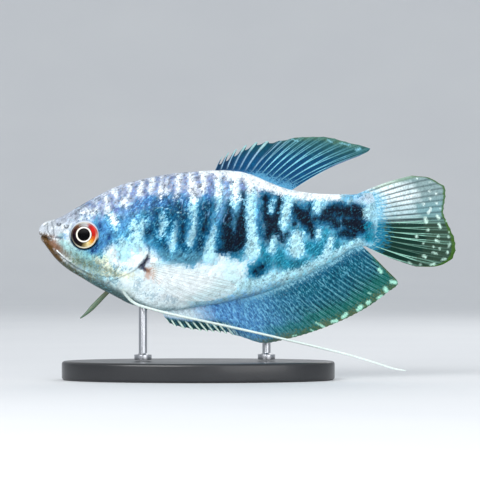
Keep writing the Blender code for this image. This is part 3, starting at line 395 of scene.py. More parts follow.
    Wash("anal_band", "ice", 0.88, 0.8, 1.6, [
        [(54, -14.6, 0.9), (62, -13.2, 1.2), (68, -11.4, 1.3), (74, -8.8, 1.3), (80, -5.6, 1.2),
         (84.5, -3.6, 0.9)]]),
    Wash("tail_sky", "flank", 0.85, 0.7, 1.2, [[(80.4, 8.6, 0.6), (84.6, 8.9, 0.9)]]),
    Wash("belly_violet", "blue", 0.8, 1.7, 3.2, [
        [(40.5, -20.8, 0.3), (46, -20.0, 0.8), (53, -18.4, 1.4), (58, -17.2, 1.5), (63, -15.2, 1.0)]]),
    Wash("fin_edge", "cyan", 0.75, 1.3, 3.0, [
        [(60, -16.2, 0.6), (70, -12.2, 0.6), (78, -7.8, 0.5), (84, -4.8, 0.4)]]),
    Wash("tail_grey", "lavender", 0.6, 0.8, 2.6, [
        [(84.4, 8.0, 0.6), (86.4, 8.2, 1.2), (88.2, 8.4, 1.0)]]),
    Wash("tail_teal", "teal", 0.8, 0.7, 2.4, [[(87.4, 1.4, 1.0), (87.6, -1.4, 1.3)]]),
    Wash("tail_cyan", "ice", 0.9, 0.7, 1.2, [[(86.9, 5.4, 1.1), (86.5, 3.7, 0.8)]]),
    Wash("pectoral_rust", "tan", 0.68, 0.9, 1.6, [
        [(28.9, -10.4, 0.9), (29.1, -11.3, 1.1), (28.8, -12.1, 0.7)],
        [(29.5, -12.7, 0.2), (31.8, -13.4, 0.1)]]),
    Wash("pectoral_brown", "rust", 0.85, 0.5, 0.8, [[(27.9, -10.0, 0.5), (29.1, -10.8, 0.5)]]),
    Wash("notch_violet", "lavender", 0.8, 0.4, 0.8, [[(29.1, -8.2, 0.5), (28.7, -9.2, 0.4)]]),
    # Painted shadow under the gill cover's rear edge.
    Wash("gill_notch", "plum", 0.95, 0.4, 0.5, [
        [(28.9, -6.9, 0.5), (28.2, -8.1, 0.75), (27.3, -9.2, 0.75), (26.7, -9.6, 0.4)],
        [(27.4, -9.8, 0.75), (28.0, -10.5, 0.35)]]),
]
LATERAL_LINE = [(27.4, 3.7), (28.2, 4.5), (30.1, 5.5), (32.3, 6.0), (34.4, 5.5), (36.5, 4.6), (38.4, 4.6),
                (40.3, 4.0)]
# The pale spots of the fins, as strokes.
DORSAL_SPOTS = [
    [(83.7, 21.2, 0.35), (84.6, 21.4, 0.4)], [(79.4, 22.9, 0.1), (82.0, 22.5, 0.25)],
    [(76.0, 23.9, 0.15), (77.2, 23.2, 0.25)], [(66.6, 24.0, 0.1), (68.2, 23.5, 0.2)]
]
ANAL_SPOTS = [
    [(89.7, -10.4, 0.5), (90.2, -11.0, 0.5)], [(92.9, -13.6, 0.5), (94.0, -13.8, 0.5)],
    [(91.3, -15.4, 0.6), (91.6, -16.0, 0.6)], [(89.3, -18.0, 0.4), (90.4, -17.4, 0.4)],
    [(86.8, -19.2, 0.6), (87.2, -18.8, 0.4)], [(84.1, -21.0, 0.5), (84.9, -20.2, 0.6)],
    [(80.1, -23.0, 0.45), (81.0, -22.2, 0.55)], [(77.3, -24.1, 0.4), (78.4, -23.9, 0.5)],
    [(73.2, -24.5, 0.2), (75.2, -25.6, 0.3)], [(71.5, -26.3, 0.1), (72.3, -26.5, 0.2)],
    [(66.8, -27.9, 0.15), (67.9, -27.7, 0.15)], [(87.0, -16.6, 0.25), (87.4, -16.8, 0.25)]
]
CAUDAL_SPOTS = [
    [(99.8, 13.7, 0.3)], [(103.1, 12.7, 0.25)], [(103.0, 10.3, 0.3)], [(104.9, 9.7, 0.35)],
    [(103.2, 8.3, 0.35)], [(105.0, 7.1, 0.35)], [(101.6, 6.8, 0.35)], [(106.0, 5.7, 0.2)],
    [(108.2, -0.5, 0.2)], [(102.6, 0.0, 0.4)], [(99.6, -1.7, 0.4)], [(105.3, -1.6, 0.35)],
    [(108.2, -1.8, 0.35)], [(101.4, -3.5, 0.3)], [(104.1, -4.4, 0.3)], [(105.7, -4.9, 0.3)],
    [(107.8, -5.9, 0.4)], [(100.7, -9.1, 0.35)], [(107.7, 2.4, 0.3)],
    [(103.4, 5.8, 0.3), (102.8, 4.6, 0.4)], [(105.1, 3.8, 0.35), (105.5, 3.2, 0.4)],
    [(101.9, 3.2, 0.4), (102.1, 2.3, 0.55)], [(105.6, 1.6, 0.4), (105.9, 0.8, 0.4)],
    [(104.8, -2.8, 0.4), (105.5, -3.1, 0.3)], [(108.4, -3.6, 0.3), (108.1, -4.4, 0.25)],
    [(103.8, -5.9, 0.2), (105.0, -6.2, 0.25)], [(101.4, -6.8, 0.35), (102.0, -7.1, 0.35)],
    [(106.4, -7.8, 0.3), (107.2, -7.6, 0.3)], [(94.8, -8.2, 0.2), (95.6, -8.5, 0.2)],
    [(97.5, -8.6, 0.25), (98.1, -8.9, 0.25)], [(103.3, -9.1, 0.3), (104.3, -8.9, 0.35)]
]


def curve_through(knots):
    """A smooth function of arrays, through (x, y) knots, that doesn't overshoot between them."""
    xs, ys = np.array(knots, float).T
    rises = np.diff(ys) / np.diff(xs)
    slopes = np.concatenate([rises[:1], np.zeros(len(rises) - 1), rises[-1:]])
    before, after = rises[:-1], rises[1:]
    same_way = before * after > 0
    total = np.where(same_way, before + after, 1.0)
    slopes[1:-1] = np.where(same_way, 2 * before * after / total, 0.0)

    def value(x):
        x = np.clip(x, xs[0], xs[-1])
        i = np.clip(np.searchsorted(xs, x, side="right") - 1, 0, len(xs) - 2)
        step = xs[i + 1] - xs[i]
        t = (x - xs[i]) / step
        start = (1 + 2 * t) * (1 - t) ** 2 * ys[i] + t * (1 - t) ** 2 * step * slopes[i]
        end = t * t * (3 - 2 * t) * ys[i + 1] + t * t * (t - 1) * step * slopes[i + 1]
        return start + end

    return value


def path_through(places):
    """A function from shares 0..1 to columns of numbers, through places spaced evenly along it."""
    last = len(places) - 1
    parts = [curve_through(list(enumerate(values))) for values in zip(*places)]
    return lambda share: [part(np.asarray(share) * last) for part in parts]


def tip_line(tips):
    """A function from a share along the fin to (behind, above) at the tip of its ray."""
    behind = curve_through([(tip[0], tip[1]) for tip in tips])
    above = curve_through([(tip[0], tip[2]) for tip in tips])
    return lambda share: (behind(share), above(share))


back_height = curve_through(BACK)
belly_height = curve_through(BELLY)
half_width = curve_through(HALF_WIDTH)
widest_level = curve_through(WIDEST)
back_roundness = curve_through(BACK_ROUNDNESS)
belly_roundness = curve_through(BELLY_ROUNDNESS)
gill_edge = curve_through(GILL_EDGE)


def blend(low, high, share):
    return low + (high - low) * share


def ramp(value, low, high):
    """A smooth step from 0 at low to 1 at high."""
    share = np.clip((value - low) / (high - low), 0.0, 1.0)
    return share * share * (3 - 2 * share)


def bump(value, width):
    """A rounded bump, 1 at 0 and near 0 at twice the width."""
    return np.exp(-np.square(value / width))


def place(behind, across, above):
    """Places on the fish as points of the model, in metres."""
    behind, across, above = np.broadcast_arrays(behind, across, above)
    return np.stack([behind - STAND_BEHIND, across, above + SNOUT_HEIGHT], -1) * MM


def nose_roundness(behind):
    share = np.clip(behind / NOSE_LENGTH, 0.0, 1.0)
    return np.sqrt(1 - (1 - share) ** 2)


def back(behind):
    return back_height(behind) * nose_roundness(behind)


def belly(behind):
    return belly_height(behind) * nose_roundness(behind)


def side_view(behind, drop):
    """Height above the snout's tip at a share of the way down from the back to the belly."""
    return blend(back(behind), belly(behind), drop)


def flank(behind, above):
    """Half width of the body at places in side view."""
    level = widest_level(behind) * nose_roundness(behind)
    top, bottom = back(behind), belly(behind)
    over = above > level
    reach = np.where(over, (above - level) / (top - level), (level - above) / (level - bottom))
    roundness = np.where(over, back_roundness(behind), belly_roundness(behind))
    fullness = np.clip(1 - reach * reach, 0.0, None)
    width = half_width(behind) * nose_roundness(behind)
    keel = np.minimum(KEEL, width)
    return (width - keel) * fullness ** (roundness / 2) + keel * fullness ** (KEEL_ROUNDNESS / 2)


def flank_direction(behind, above, side):
    """The way the flank faces at a place in side view."""
    step = 0.4
    along = (flank(behind + step, above) - flank(behind - step, above)) / (2 * step)
    up = (flank(behind, above + step) - flank(behind, above - step)) / (2 * step)
    return Vector((-float(along), side, -float(up))).normalized()


def tail_end(drop):
    """Where the body ends at a height, in a curve that bulges into the tail fin."""
    return BODY_END + BODY_END_BULGE * np.sin(np.pi * drop)


def gill_share(drop):
    """How much the gill cover stands out at a height: not over the back, and not at the throat."""
    share = np.clip((drop - GILL_TOP) / (GILL_BOTTOM - GILL_TOP), 0.0, 1.0)
    return np.sqrt(np.clip(np.sin(np.pi * share), 0.0, None))


def beside(start, end, behind, above):
    """The nearest share of a straight stretch to places in side view, and their distance to it."""
    (b0, a0), (b1, a1) = start[:2], end[:2]
    length = max((b1 - b0) ** 2 + (a1 - a0) ** 2, 1e-9)
    share = np.clip(((behind - b0) * (b1 - b0) + (above - a0) * (a1 - a0)) / length, 0, 1)
    return share, np.hypot(behind - blend(b0, b1, share), above - blend(a0, a1, share))


def gap_to(spot, behind, above):
    """Distance in side view from places to one spot."""
    return np.hypot(behind - spot[0], above - spot[1])


def distance_to(line, behind, above):
    """Distance in side view from places to a line through points."""
    return np.minimum.reduce([beside(*ends, behind, above)[1] for ends in zip(line, line[1:])])


def depth_in(strokes, behind, above):
    """How deep inside the nearest stroke a place lies, in millimetres, and below 0 outside them all."""
    best = np.full(np.shape(behind), OUTSIDE_STROKES)
    for stroke in strokes:
        for start, end in zip(stroke, stroke[1:] or stroke):
            share, gap = beside(start, end, behind, above)
            best = np.maximum(best, blend(start[2], end[2], share) - gap)
    return best


def mouth_gap(behind, above):
    """Height over the line between the lips."""
    return above - (MOUTH_LEVEL + MOUTH_SLOPE * (behind - MOUTH_START))


def gill_relief(behind, drop):
    """The gill cover with its rolled edge, and the step down behind it."""
    past = behind - gill_edge(drop)
    cover = COVER_HEIGHT * np.clip(1 + past / 2.4, 0, 1) - 0.07 * bump(past + 0.9, 0.25)
    relief = gill_share(drop) * np.where(past <= 0.001, cover, -OPENING_DEPTH * np.exp(-past / 0.9))
    return relief - 0.06 * ramp(past, 0.2, 2.0)


def mouth_relief(behind, above):
    """Two full lips, the line between them, the corner of the mouth and the folds behind the lips."""
    over = mouth_gap(behind, above)
    lips = 0.44 * bump(over - 0.85, 0.6) + 0.36 * bump(over + 0.78, 0.5) - 0.45 * bump(over, 0.2)
    relief = lips * (1 - ramp(behind, MOUTH_CORNER - 0.9, MOUTH_CORNER + 0.2))
    relief -= 0.2 * bump(np.hypot(behind - MOUTH_CORNER, over), 0.35)
    for line in LIP_FOLDS:
        relief -= 0.13 * bump(distance_to(line, behind, above), FOLD_WIDTH)
    return relief


def skin_relief(behind, above, drop):
    """How far the skin stands out of the plain body, in millimetres."""
    jaw = distance_to(JAW_EDGE, behind, above)
    cheek = distance_to(CHEEK_EDGE, behind, above)
    relief = gill_relief(behind, drop) + mouth_relief(behind, above)
    relief -= 0.2 * bump(jaw, 0.22) + 0.2 * bump(cheek, 0.2)
    relief += 0.08 * bump(jaw - 0.55, 0.3) + 0.1 * bump(cheek - 0.5, 0.3)
    for *nostril, radius in NOSTRILS:
        gap = gap_to(nostril, behind, above)
        relief += 0.1 * bump(gap - radius - 0.12, 0.16) - 0.45 * bump(gap, radius * 0.8)
    gap = gap_to(EYE, behind, above)
    relief += 0.16 * bump(gap - EYE_RADIUS - 0.5, 0.5) - 0.9 * (1 - ramp(gap, 3.2, 4.1))
    relief += CHIN_FULLNESS * bump(behind - CHIN, CHIN_LENGTH) * ramp(drop, 0.74, 0.97)
    shoulder = np.hypot((behind - 29.0) / 1.4, (above + 10.6) / 2.4)
    return relief + SHOULDER_HEIGHT * bump(shoulder, 0.8)


class Surface:
    """The skin as a grid of points, rings from snout to tail by places round each ring."""

    def __init__(self):
        head = (np.arange(HEAD_RINGS + 1) / HEAD_RINGS) ** 1.3
        torso = 1 + (np.arange(1, TORSO_RINGS + 1) / TORSO_RINGS) ** 1.4
        tail = 2 + np.arange(1, TAIL_RINGS + 1) / TAIL_RINGS
        head[0] = 0.001
        self.stations = np.concatenate([head, torso, tail])
        turns = np.arange(2 * HALF_RING)
        sides = np.where(turns <= HALF_RING, 1.0, -1.0)
        self.drops = (1 - np.cos(np.pi * turns / HALF_RING)) / 2
        behind = self.behind_at(self.stations[:, None], self.drops[None, :])
        drop = np.broadcast_to(self.drops, behind.shape)
        above = side_view(behind, drop)
        plain = np.stack([behind, flank(behind, above) * sides, above], -1)
        relief = skin_relief(behind, above, drop) * ramp(behind, 0.0, 0.5)
        self.points = plain + self.normals_of(plain) * relief[..., None]
        self.normals = self.normals_of(self.points)
        self.lay_out_arcs()

    @staticmethod
    def behind_at(station, drop):
        edge = gill_edge(drop)
        head = edge * station
        torso = blend(edge, TAIL_CUT, station - 1)
        tail = blend(TAIL_CUT, tail_end(drop), station - 2)
        return np.where(station <= 1, head, np.where(station <= 2, torso, tail))

    @staticmethod
    def normals_of(points):
        along = np.gradient(points, axis=0)
        around = np.roll(points, -1, axis=1) - np.roll(points, 1, axis=1)
        normals = np.cross(around, along)
        size = np.linalg.norm(normals, axis=-1, keepdims=True)
        normals = normals / np.maximum(size, 1e-12)
        outwards = np.sign((normals * (points - points.mean(axis=1, keepdims=True))).sum())
        return normals * outwards

    def lay_out_arcs(self):
        """Measures arcs round the flank from its widest level, up positive, and the drop at each."""
        self.arcs = np.linspace(*ARC_RANGE, ARC_STEPS)
        self.arc_behind = np.linspace(0.5, BODY_END + BODY_END_BULGE, ARC_ROWS)
        drops = (1 - np.cos(np.linspace(0, np.pi, ARC_DROPS))) / 2
        behind = self.arc_behind[:, None]
        above = side_view(behind, drops)
        across = flank(behind, above)
        lengths = np.hypot(np.diff(above, axis=1), np.diff(across, axis=1)).cumsum(axis=1)
        lengths = np.concatenate([np.zeros((len(behind), 1)), lengths], axis=1)
        rows = []
        self.arc_top, self.arc_bottom = [], []
        for row, station in enumerate(self.arc_behind):
            middle = np.interp(-widest_level(station), -above[row], lengths[row])
            rows.append(np.interp(middle - self.arcs, lengths[row], drops))
            self.arc_top.append(middle)
            self.arc_bottom.append(middle - lengths[row][-1])
        self.drop_of_arc = np.array(rows)

    def reach(self, behind):
        """The arcs of the belly's and the back's middle line."""
        return (np.interp(behind, self.arc_behind, self.arc_bottom),
                np.interp(behind, self.arc_behind, self.arc_top))

    def drop_at(self, behind, arc):
        row = np.interp(behind, self.arc_behind, np.arange(len(self.arc_behind)))
        column = np.interp(arc, self.arcs, np.arange(len(self.arcs)))
        return sample(self.drop_of_arc, row, column)

    def at(self, behind, arc, side):
        """Points and normals of the skin, in millimetres on the fish."""
        drop = self.drop_at(behind, arc)
        edge = gill_edge(drop)
        torso = 1 + (behind - edge) / (TAIL_CUT - edge)
        tail = 2 + (behind - TAIL_CUT) / (tail_end(drop) - TAIL_CUT)
        station = np.where(behind < edge, behind / edge, np.where(behind < TAIL_CUT, torso, tail))
        row = np.interp(station, self.stations, np.arange(len(self.stations)))
        turn = HALF_RING * np.arccos(np.clip(1 - 2 * drop, -1, 1)) / np.pi
        column = turn if side > 0 else (2 * HALF_RING - turn) % (2 * HALF_RING)
        return sample(self.points, row, column, wraps=True), sample(self.normals, row, column, wraps=True)


def sample(table, row, column, wraps=False):
    """A table read between its rows and columns."""
    i = np.clip(np.floor(row).astype(int), 0, table.shape[0] - 2)
    j = np.floor(column).astype(int)
    if not wraps:
        j = np.clip(j, 0, table.shape[1] - 2)
    down, over = row - i, column - j
    after = (j + 1) % table.shape[1]
    j = j % table.shape[1]
    if table.ndim > 2:
        down, over = down[..., None], over[..., None]
    low = blend(table[i, j], table[i, after], over)
    high = blend(table[i + 1, j], table[i + 1, after], over)
    return blend(low, high, down)


SKIN = Surface()


def linear(colour):
    """A 0..255 screen colour as the linear one that shaders take."""
    shares = [channel / 255 for channel in colour]
    return tuple(c / 12.92 if c <= 0.04045 else ((c + 0.055) / 1.055) ** 2.4 for c in shares)


def joining(operation, turned=False):
    """A way to join a shader value with another one or with a number, in this order or turned."""
    def join(self, other):
        first, second = (other, self) if turned else (self, other)
        return self.paint.node("Math", {"operation": operation}, {0: first, 1: second})

    return join


class Shade:
    """A shader value that takes part in sums, as in 1 - mask * 0.5."""

    def __init__(self, paint, socket):
        self.paint = paint
        self.socket = socket

    __add__ = __radd__ = joining("ADD")
    __sub__ = joining("SUBTRACT")
    __rsub__ = joining("SUBTRACT", turned=True)
    __mul__ = __rmul__ = joining("MULTIPLY")
    __truediv__ = joining("DIVIDE")


class Paint:
    """A material. Its colour starts from a ground, and other colours are laid over it one by one."""

    def __init__(self, name, **constants):
        self.material = bpy.data.materials.new(name)
        self.material.use_nodes = True
        self.tree = self.material.node_tree
        self.shader = self.tree.nodes["Principled BSDF"]
        self.feed(**constants)

    def node(self, kind, settings, sockets, output=0):
        made = self.tree.nodes.new("ShaderNode" + kind)
        for name, value in settings.items():
            if name == "stops":
                self.set_stops(made.color_ramp.elements, value)
            else:
                setattr(made, name, value)
        for key, value in sockets.items():
            self.put(made.inputs[key], value)
        return Shade(self, made.outputs[output])

    def put(self, socket, value):
        if isinstance(value, Shade):
            self.tree.links.new(value.socket, socket)
        else:
            socket.default_value = value

    @staticmethod
    def set_stops(elements, stops):
        while len(elements) < len(stops):
            elements.new(1.0)
        for element, (position, colour) in zip(elements, stops):
            element.position = position
            element.color = (*colour, 1.0)

    def field(self, name):
        """A number that the piece carries at each of its points."""
        return self.node("Attribute", {"attribute_name": name}, {}, 2)

    def fields(self, *names):
        return [self.field(name) for name in names]

    def place(self, longer=(1, 1, 1), turn=(0, 0, 0)):
        """Places on the piece, in millimetres. A pattern on them comes out longer along the turned axes."""
        spot = self.node("TexCoord", {}, {}, 3)
        unit = tuple(share * MM for share in longer)
        return self.node("Mapping", {"vector_type": "TEXTURE"},
                         {"Vector": spot, "Rotation": turn, "Scale": unit})

    def split(self, vector):
        made = self.tree.nodes.new("ShaderNodeSeparateXYZ")
        self.tree.links.new(vector.socket, made.inputs[0])
        return [Shade(self, output) for output in made.outputs]

    def noise(self, size, detail=2.0, rough=0.5, spot=None, **stretch):
        """Cloudy noise round 0, with spots about size millimetres across."""
        spot = spot or self.place(**stretch)
        return self.node("TexNoise", {}, {"Vector": spot, "Scale": 1.0 / size, "Detail": detail,
                                          "Roughness": rough}) - 0.5

    def step(self, value, low, high):
        """A smooth step from 0 at low to 1 at high."""
        return self.node("MapRange", {"interpolation_type": "SMOOTHSTEP"},
                         {0: value, 1: low, 2: high, 3: 0.0, 4: 1.0})

    def mix(self, share, low, high, way="MIX"):
        """One colour over another: a link, a setting's linear colour or a 0..255 screen colour."""
        low, high = (c if isinstance(c, Shade) else (*(linear(c) if isinstance(c, tuple) else c), 1.0)
                     for c in (low, high))
        return self.node("Mix", {"data_type": "RGBA", "blend_type": way}, {0: share, 6: low, 7: high}, 2)

    def ground(self, share, low, high):
        self.colour = self.mix(share, low, high)

    def lay(self, share, colour, way="MIX"):
        self.colour = self.mix(share, self.colour, colour, way)

    def lighten(self, light):
        """Multiplies the colour by a lightness."""
        self.lay(1.0, self.node("CombineColor", {}, {0: light, 1: light, 2: light}), "MULTIPLY")

    def feed(self, **links):
        """Fills the shader's own sockets, such as Base_Color."""
        for name, value in links.items():
            self.put(self.shader.inputs[name.replace("_", " ")], value)

    def finish(self, height, depth, **links):
        """Hands over the colour and fine relief, which is depth millimetres high where height is 1."""
        relief = self.node("Bump", {}, {"Height": height, "Distance": depth * MM})
        self.feed(Base_Color=self.colour, Normal=relief, **links)
        return self


def colour_setting(name, description, default):
    """A colour whose default is given as a 0..255 screen colour."""
    return bpy.props.FloatVectorProperty(name=name, description=description, subtype="COLOR", size=3,
                                         min=0.0, max=1.0, default=linear(default))


def length_setting(name, description, default, low, high):
    """A length whose default and limits are given in millimetres."""
    return bpy.props.FloatProperty(name=name, description=description, default=default * MM, min=low * MM,
                                   max=high * MM, unit="LENGTH", precision=5)


class GOURAMI_Colours(bpy.types.PropertyGroup):
    """Colours of the fish."""

    lavender: colour_setting("Lavender", "Grey-violet of the nape and back", (184, 192, 208))
    # White also paints the highlight along the jaw's ridge.
    white: colour_setting("White", "Silver white of the belly and the back's bars", (236, 244, 247))
    milk: colour_setting("Milk", "Faintly blue white of the belly", (220, 236, 240))
    ice: colour_setting("Ice", "Pale cyan-white of the light patches", (172, 218, 228))
    flank: colour_setting("Flank", "Plain blue of the flank", (86, 158, 196))
    blue: colour_setting("Blue", "Bright blue behind the eye and between bars", (72, 136, 188))
    violet: colour_setting("Violet", "Blue-violet below the back", (90, 130, 178))
    indigo: colour_setting("Indigo", "Violet tinge over the flank's dark blue", (54, 102, 156))
    deep_violet: colour_setting("Deep violet", "Dark marks in the blue-violet", (14, 50, 104))
    heather: colour_setting("Heather", "Grey-violet bars of the nape", (92, 106, 150))
    bronze: colour_setting("Bronze", "Shade under the lower jaw", (82, 84, 62))
    mid_blue: colour_setting("Mid blue", "Fringe of the flank's dark bars", (0, 106, 146))
    deep_blue: colour_setting("Deep blue", "Dark blue of the flank's bars", (0, 80, 116))
    deep_teal: colour_setting("Deep teal", "Teal fringe of the blotches", (0, 82, 120))
    sky: colour_setting("Sky", "Light blue fringe of the pale patches", (98, 180, 216))
    snout: colour_setting("Snout", "Grey mottle of the snout and forehead", (138, 146, 160))
    night: colour_setting("Night", "Dark blue of the front bars", (0, 24, 50))
    navy: colour_setting("Navy", "Near black of the blotches", (0, 13, 32))
    teal: colour_setting("Teal", "Mottled teal above the anal fin", (0, 116, 142))
    mottle: colour_setting("Mottle", "Grey-green of the lower flank", (70, 122, 144))
    cyan: colour_setting("Cyan", "Light cyan of the rear flank", (96, 176, 200))
    aqua: colour_setting("Aqua", "Pale blue-green of the face", (134, 186, 184))
    olive: colour_setting("Olive", "Greenish gold of the cheek", (136, 142, 98))
    # Slate is also laid dark under the head as painted shade.
    slate: colour_setting("Slate", "Grey-green of the throat", (58, 84, 80))
    rust: colour_setting("Rust", "Red-brown of the cheek by the mouth", (118, 70, 24))
    gold: colour_setting("Gold", "Olive gold of the lower jaw", (78, 52, 0))
    tan: colour_setting("Tan", "Orange-brown at the pectoral fin's root", (186, 128, 88))
    cream: colour_setting("Cream", "Yellowish white of the cheek", (222, 226, 196))
    pale_grey: colour_setting("Pale grey", "Silver grey of the throat", (186, 200, 196))
    # Moss also paints the shade in the cheek's groove.
    moss: colour_setting("Moss", "Dark freckles of the cheek", (84, 100, 84))
    umber: colour_setting("Umber", "Brown-grey above the jaw", (112, 100, 84))
    pale_cyan: colour_setting("Pale cyan", "Cyan-white of the rear belly", (196, 232, 238))
    # Plum also paints the shadow under the gill cover's rear edge.
    plum: colour_setting("Plum", "Dark notch at the gill cover's corner", (38, 34, 60))
    dorsal: colour_setting("Dorsal fin", "Blue of the dorsal fin", (6, 64, 104))
    caudal: colour_setting("Tail fin", "Dark green of the tail fin", (4, 42, 34))
    mint: colour_setting("Mint", "Pale spots and rays of the fins", (170, 232, 212))
    feeler: colour_setting("Feeler", "Pale green-white of the feelers", (226, 240, 232))


class GOURAMI_Sizes(bpy.types.PropertyGroup):
    """Sizes of the fish's fine parts."""

    scale_pitch: length_setting("Scale pitch", "Spacing of the scales along the flank", 1.2, 0.8, 3)
    scale_lift: length_setting("Scale lift", "Height of a scale's rear edge over the skin", 0.085, 0, 0.3)
    ray_height: length_setting("Ray height", "How far a fin ray stands out of its membrane", 0.12, 0, 0.3)
    membrane: length_setting("Membrane", "Half the thickness of a fin's membrane", 0.07, 0.02, 0.3)
    pupil_radius: length_setting("Pupil radius", "Radius of the black pupil", 1.66, 0.5, 3)


class GOURAMI_Display(bpy.types.PropertyGroup):
    """The stand and the studio."""

    base_colour: colour_setting("Base colour", "Lacquer of the base", (30, 31, 34))
    rod_colour: colour_setting("Rod colour", "Steel of the rods", (196, 198, 202))
    floor_colour: colour_setting("Floor colour", "Plain pale floor and backdrop", (222, 224, 226))
    rim_radius: length_setting("Rim radius", "Rounding of the base's rims", 0.8, 0.1, 2)
    key_light: bpy.props.FloatProperty(
        name="Key light", description="Power of the main light", default=3.2, min=0.0, unit="POWER")
    fill_light: bpy.props.FloatProperty(
        name="Fill light", description="Power of the light from the other side", default=1.8, min=0.0,
        unit="POWER")


def clear_selection():
    if bpy.context.object and bpy.context.object.mode != "OBJECT":
        bpy.ops.object.mode_set(mode="OBJECT")
    bpy.ops.object.select_all(action="DESELECT")


def only(piece):
    """Makes a piece the one that operators act on."""
    clear_selection()
    piece.select_set(True)
    bpy.context.view_layer.objects.active = piece


def just_made(name):
    """The piece that an operator has just made, under its name."""
    piece = bpy.context.object
    piece.name = piece.data.name = name
    return piece


def freeze():
    """Applies the place, the turn and the size of the piece in hand."""
    bpy.ops.object.transform_apply(location=True, rotation=True, scale=True)


def settle(piece, paint, slot, *nodes):
    """Gives a finished piece its material and its ties to the model."""
    piece.data.materials.clear()
    piece.data.materials.append(paint.material)
    only(piece)
    freeze()
    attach(piece, BODY)
    if nodes:
        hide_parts(*nodes)


def grid_piece(name, columns, rows, points):
    """A sheet of columns by rows points, laid on given points in metres, with rows running fastest."""
    clear_selection()
    bpy.ops.mesh.primitive_grid_add(x_subdivisions=rows - 1, y_subdivisions=columns - 1, size=1.0)
    piece = just_made(name)
    piece.data.vertices.foreach_set("co", points.reshape(-1).astype(np.float32))
    piece.data.update()
    return piece


def carry(piece, **fields):
    """Stores numbers at a piece's points, under their names."""
    for name, values in fields.items():
        attribute = piece.data.attributes.new(name, "FLOAT", "POINT")
        attribute.data.foreach_set("value", np.asarray(values, np.float32).reshape(-1))


def carry_washes(piece, behind, above):
    for wash in WASHES:
        carry(piece, **{wash.name: depth_in(wash.strokes, behind, above)})


def seal(piece, weld=False, caps=False):
    """Welds the points that meet, closes open ends and turns the faces outward."""
    only(piece)
    bpy.ops.object.mode_set(mode="EDIT")
    bpy.ops.mesh.select_all(action="SELECT")
    if weld:
        bpy.ops.mesh.remove_doubles(threshold=WELD)
    if caps:
        bpy.ops.mesh.select_all(action="DESELECT")
        bpy.ops.mesh.select_non_manifold()
        bpy.ops.mesh.edge_face_add()
        bpy.ops.mesh.select_all(action="SELECT")
    bpy.ops.mesh.normals_make_consistent(inside=False)
    bpy.ops.object.mode_set(mode="OBJECT")


def start_editing(piece, kind, wanted):
    """Opens a piece for editing, with only the wanted faces or edges selected."""
    bpy.ops.object.mode_set(mode="EDIT")
    bpy.ops.mesh.select_mode(type=kind)
    bpy.ops.mesh.select_all(action="DESELECT")
    edit = bmesh.from_edit_mesh(piece.data)
    for part in edit.faces if kind == "FACE" else edit.edges:
        part.select = wanted(part)
    bmesh.update_edit_mesh(piece.data)


def round_rims(piece, width, segments, angle):
    """Rounds the edges that turn by more than an angle in degrees, and smooths the rest."""
    bevel = piece.modifiers.new("Rims", "BEVEL")
    bevel.width = width
    bevel.segments = segments
    bevel.limit_method = "ANGLE"
    bevel.angle_limit = math.radians(angle)
    bpy.ops.object.modifier_apply(modifier=bevel.name)
    bpy.ops.object.shade_smooth_by_angle(angle=math.radians(40))


def lay_washes(paint, colours, grain):
    """Lays every wash over the ground, with an edge that wanders with the grain."""
    for wash in WASHES:
        depth = paint.field(wash.name) + grain * wash.grain
        if wash.name in FRINGES:
            fringe, reach, strength = FRINGES[wash.name]
            paint.lay(paint.step(depth, -wash.soft - reach, 0.0) * strength, getattr(colours, fringe))
        paint.lay(paint.step(depth, -wash.soft, wash.soft) * wash.strength, getattr(colours, wash.colour))


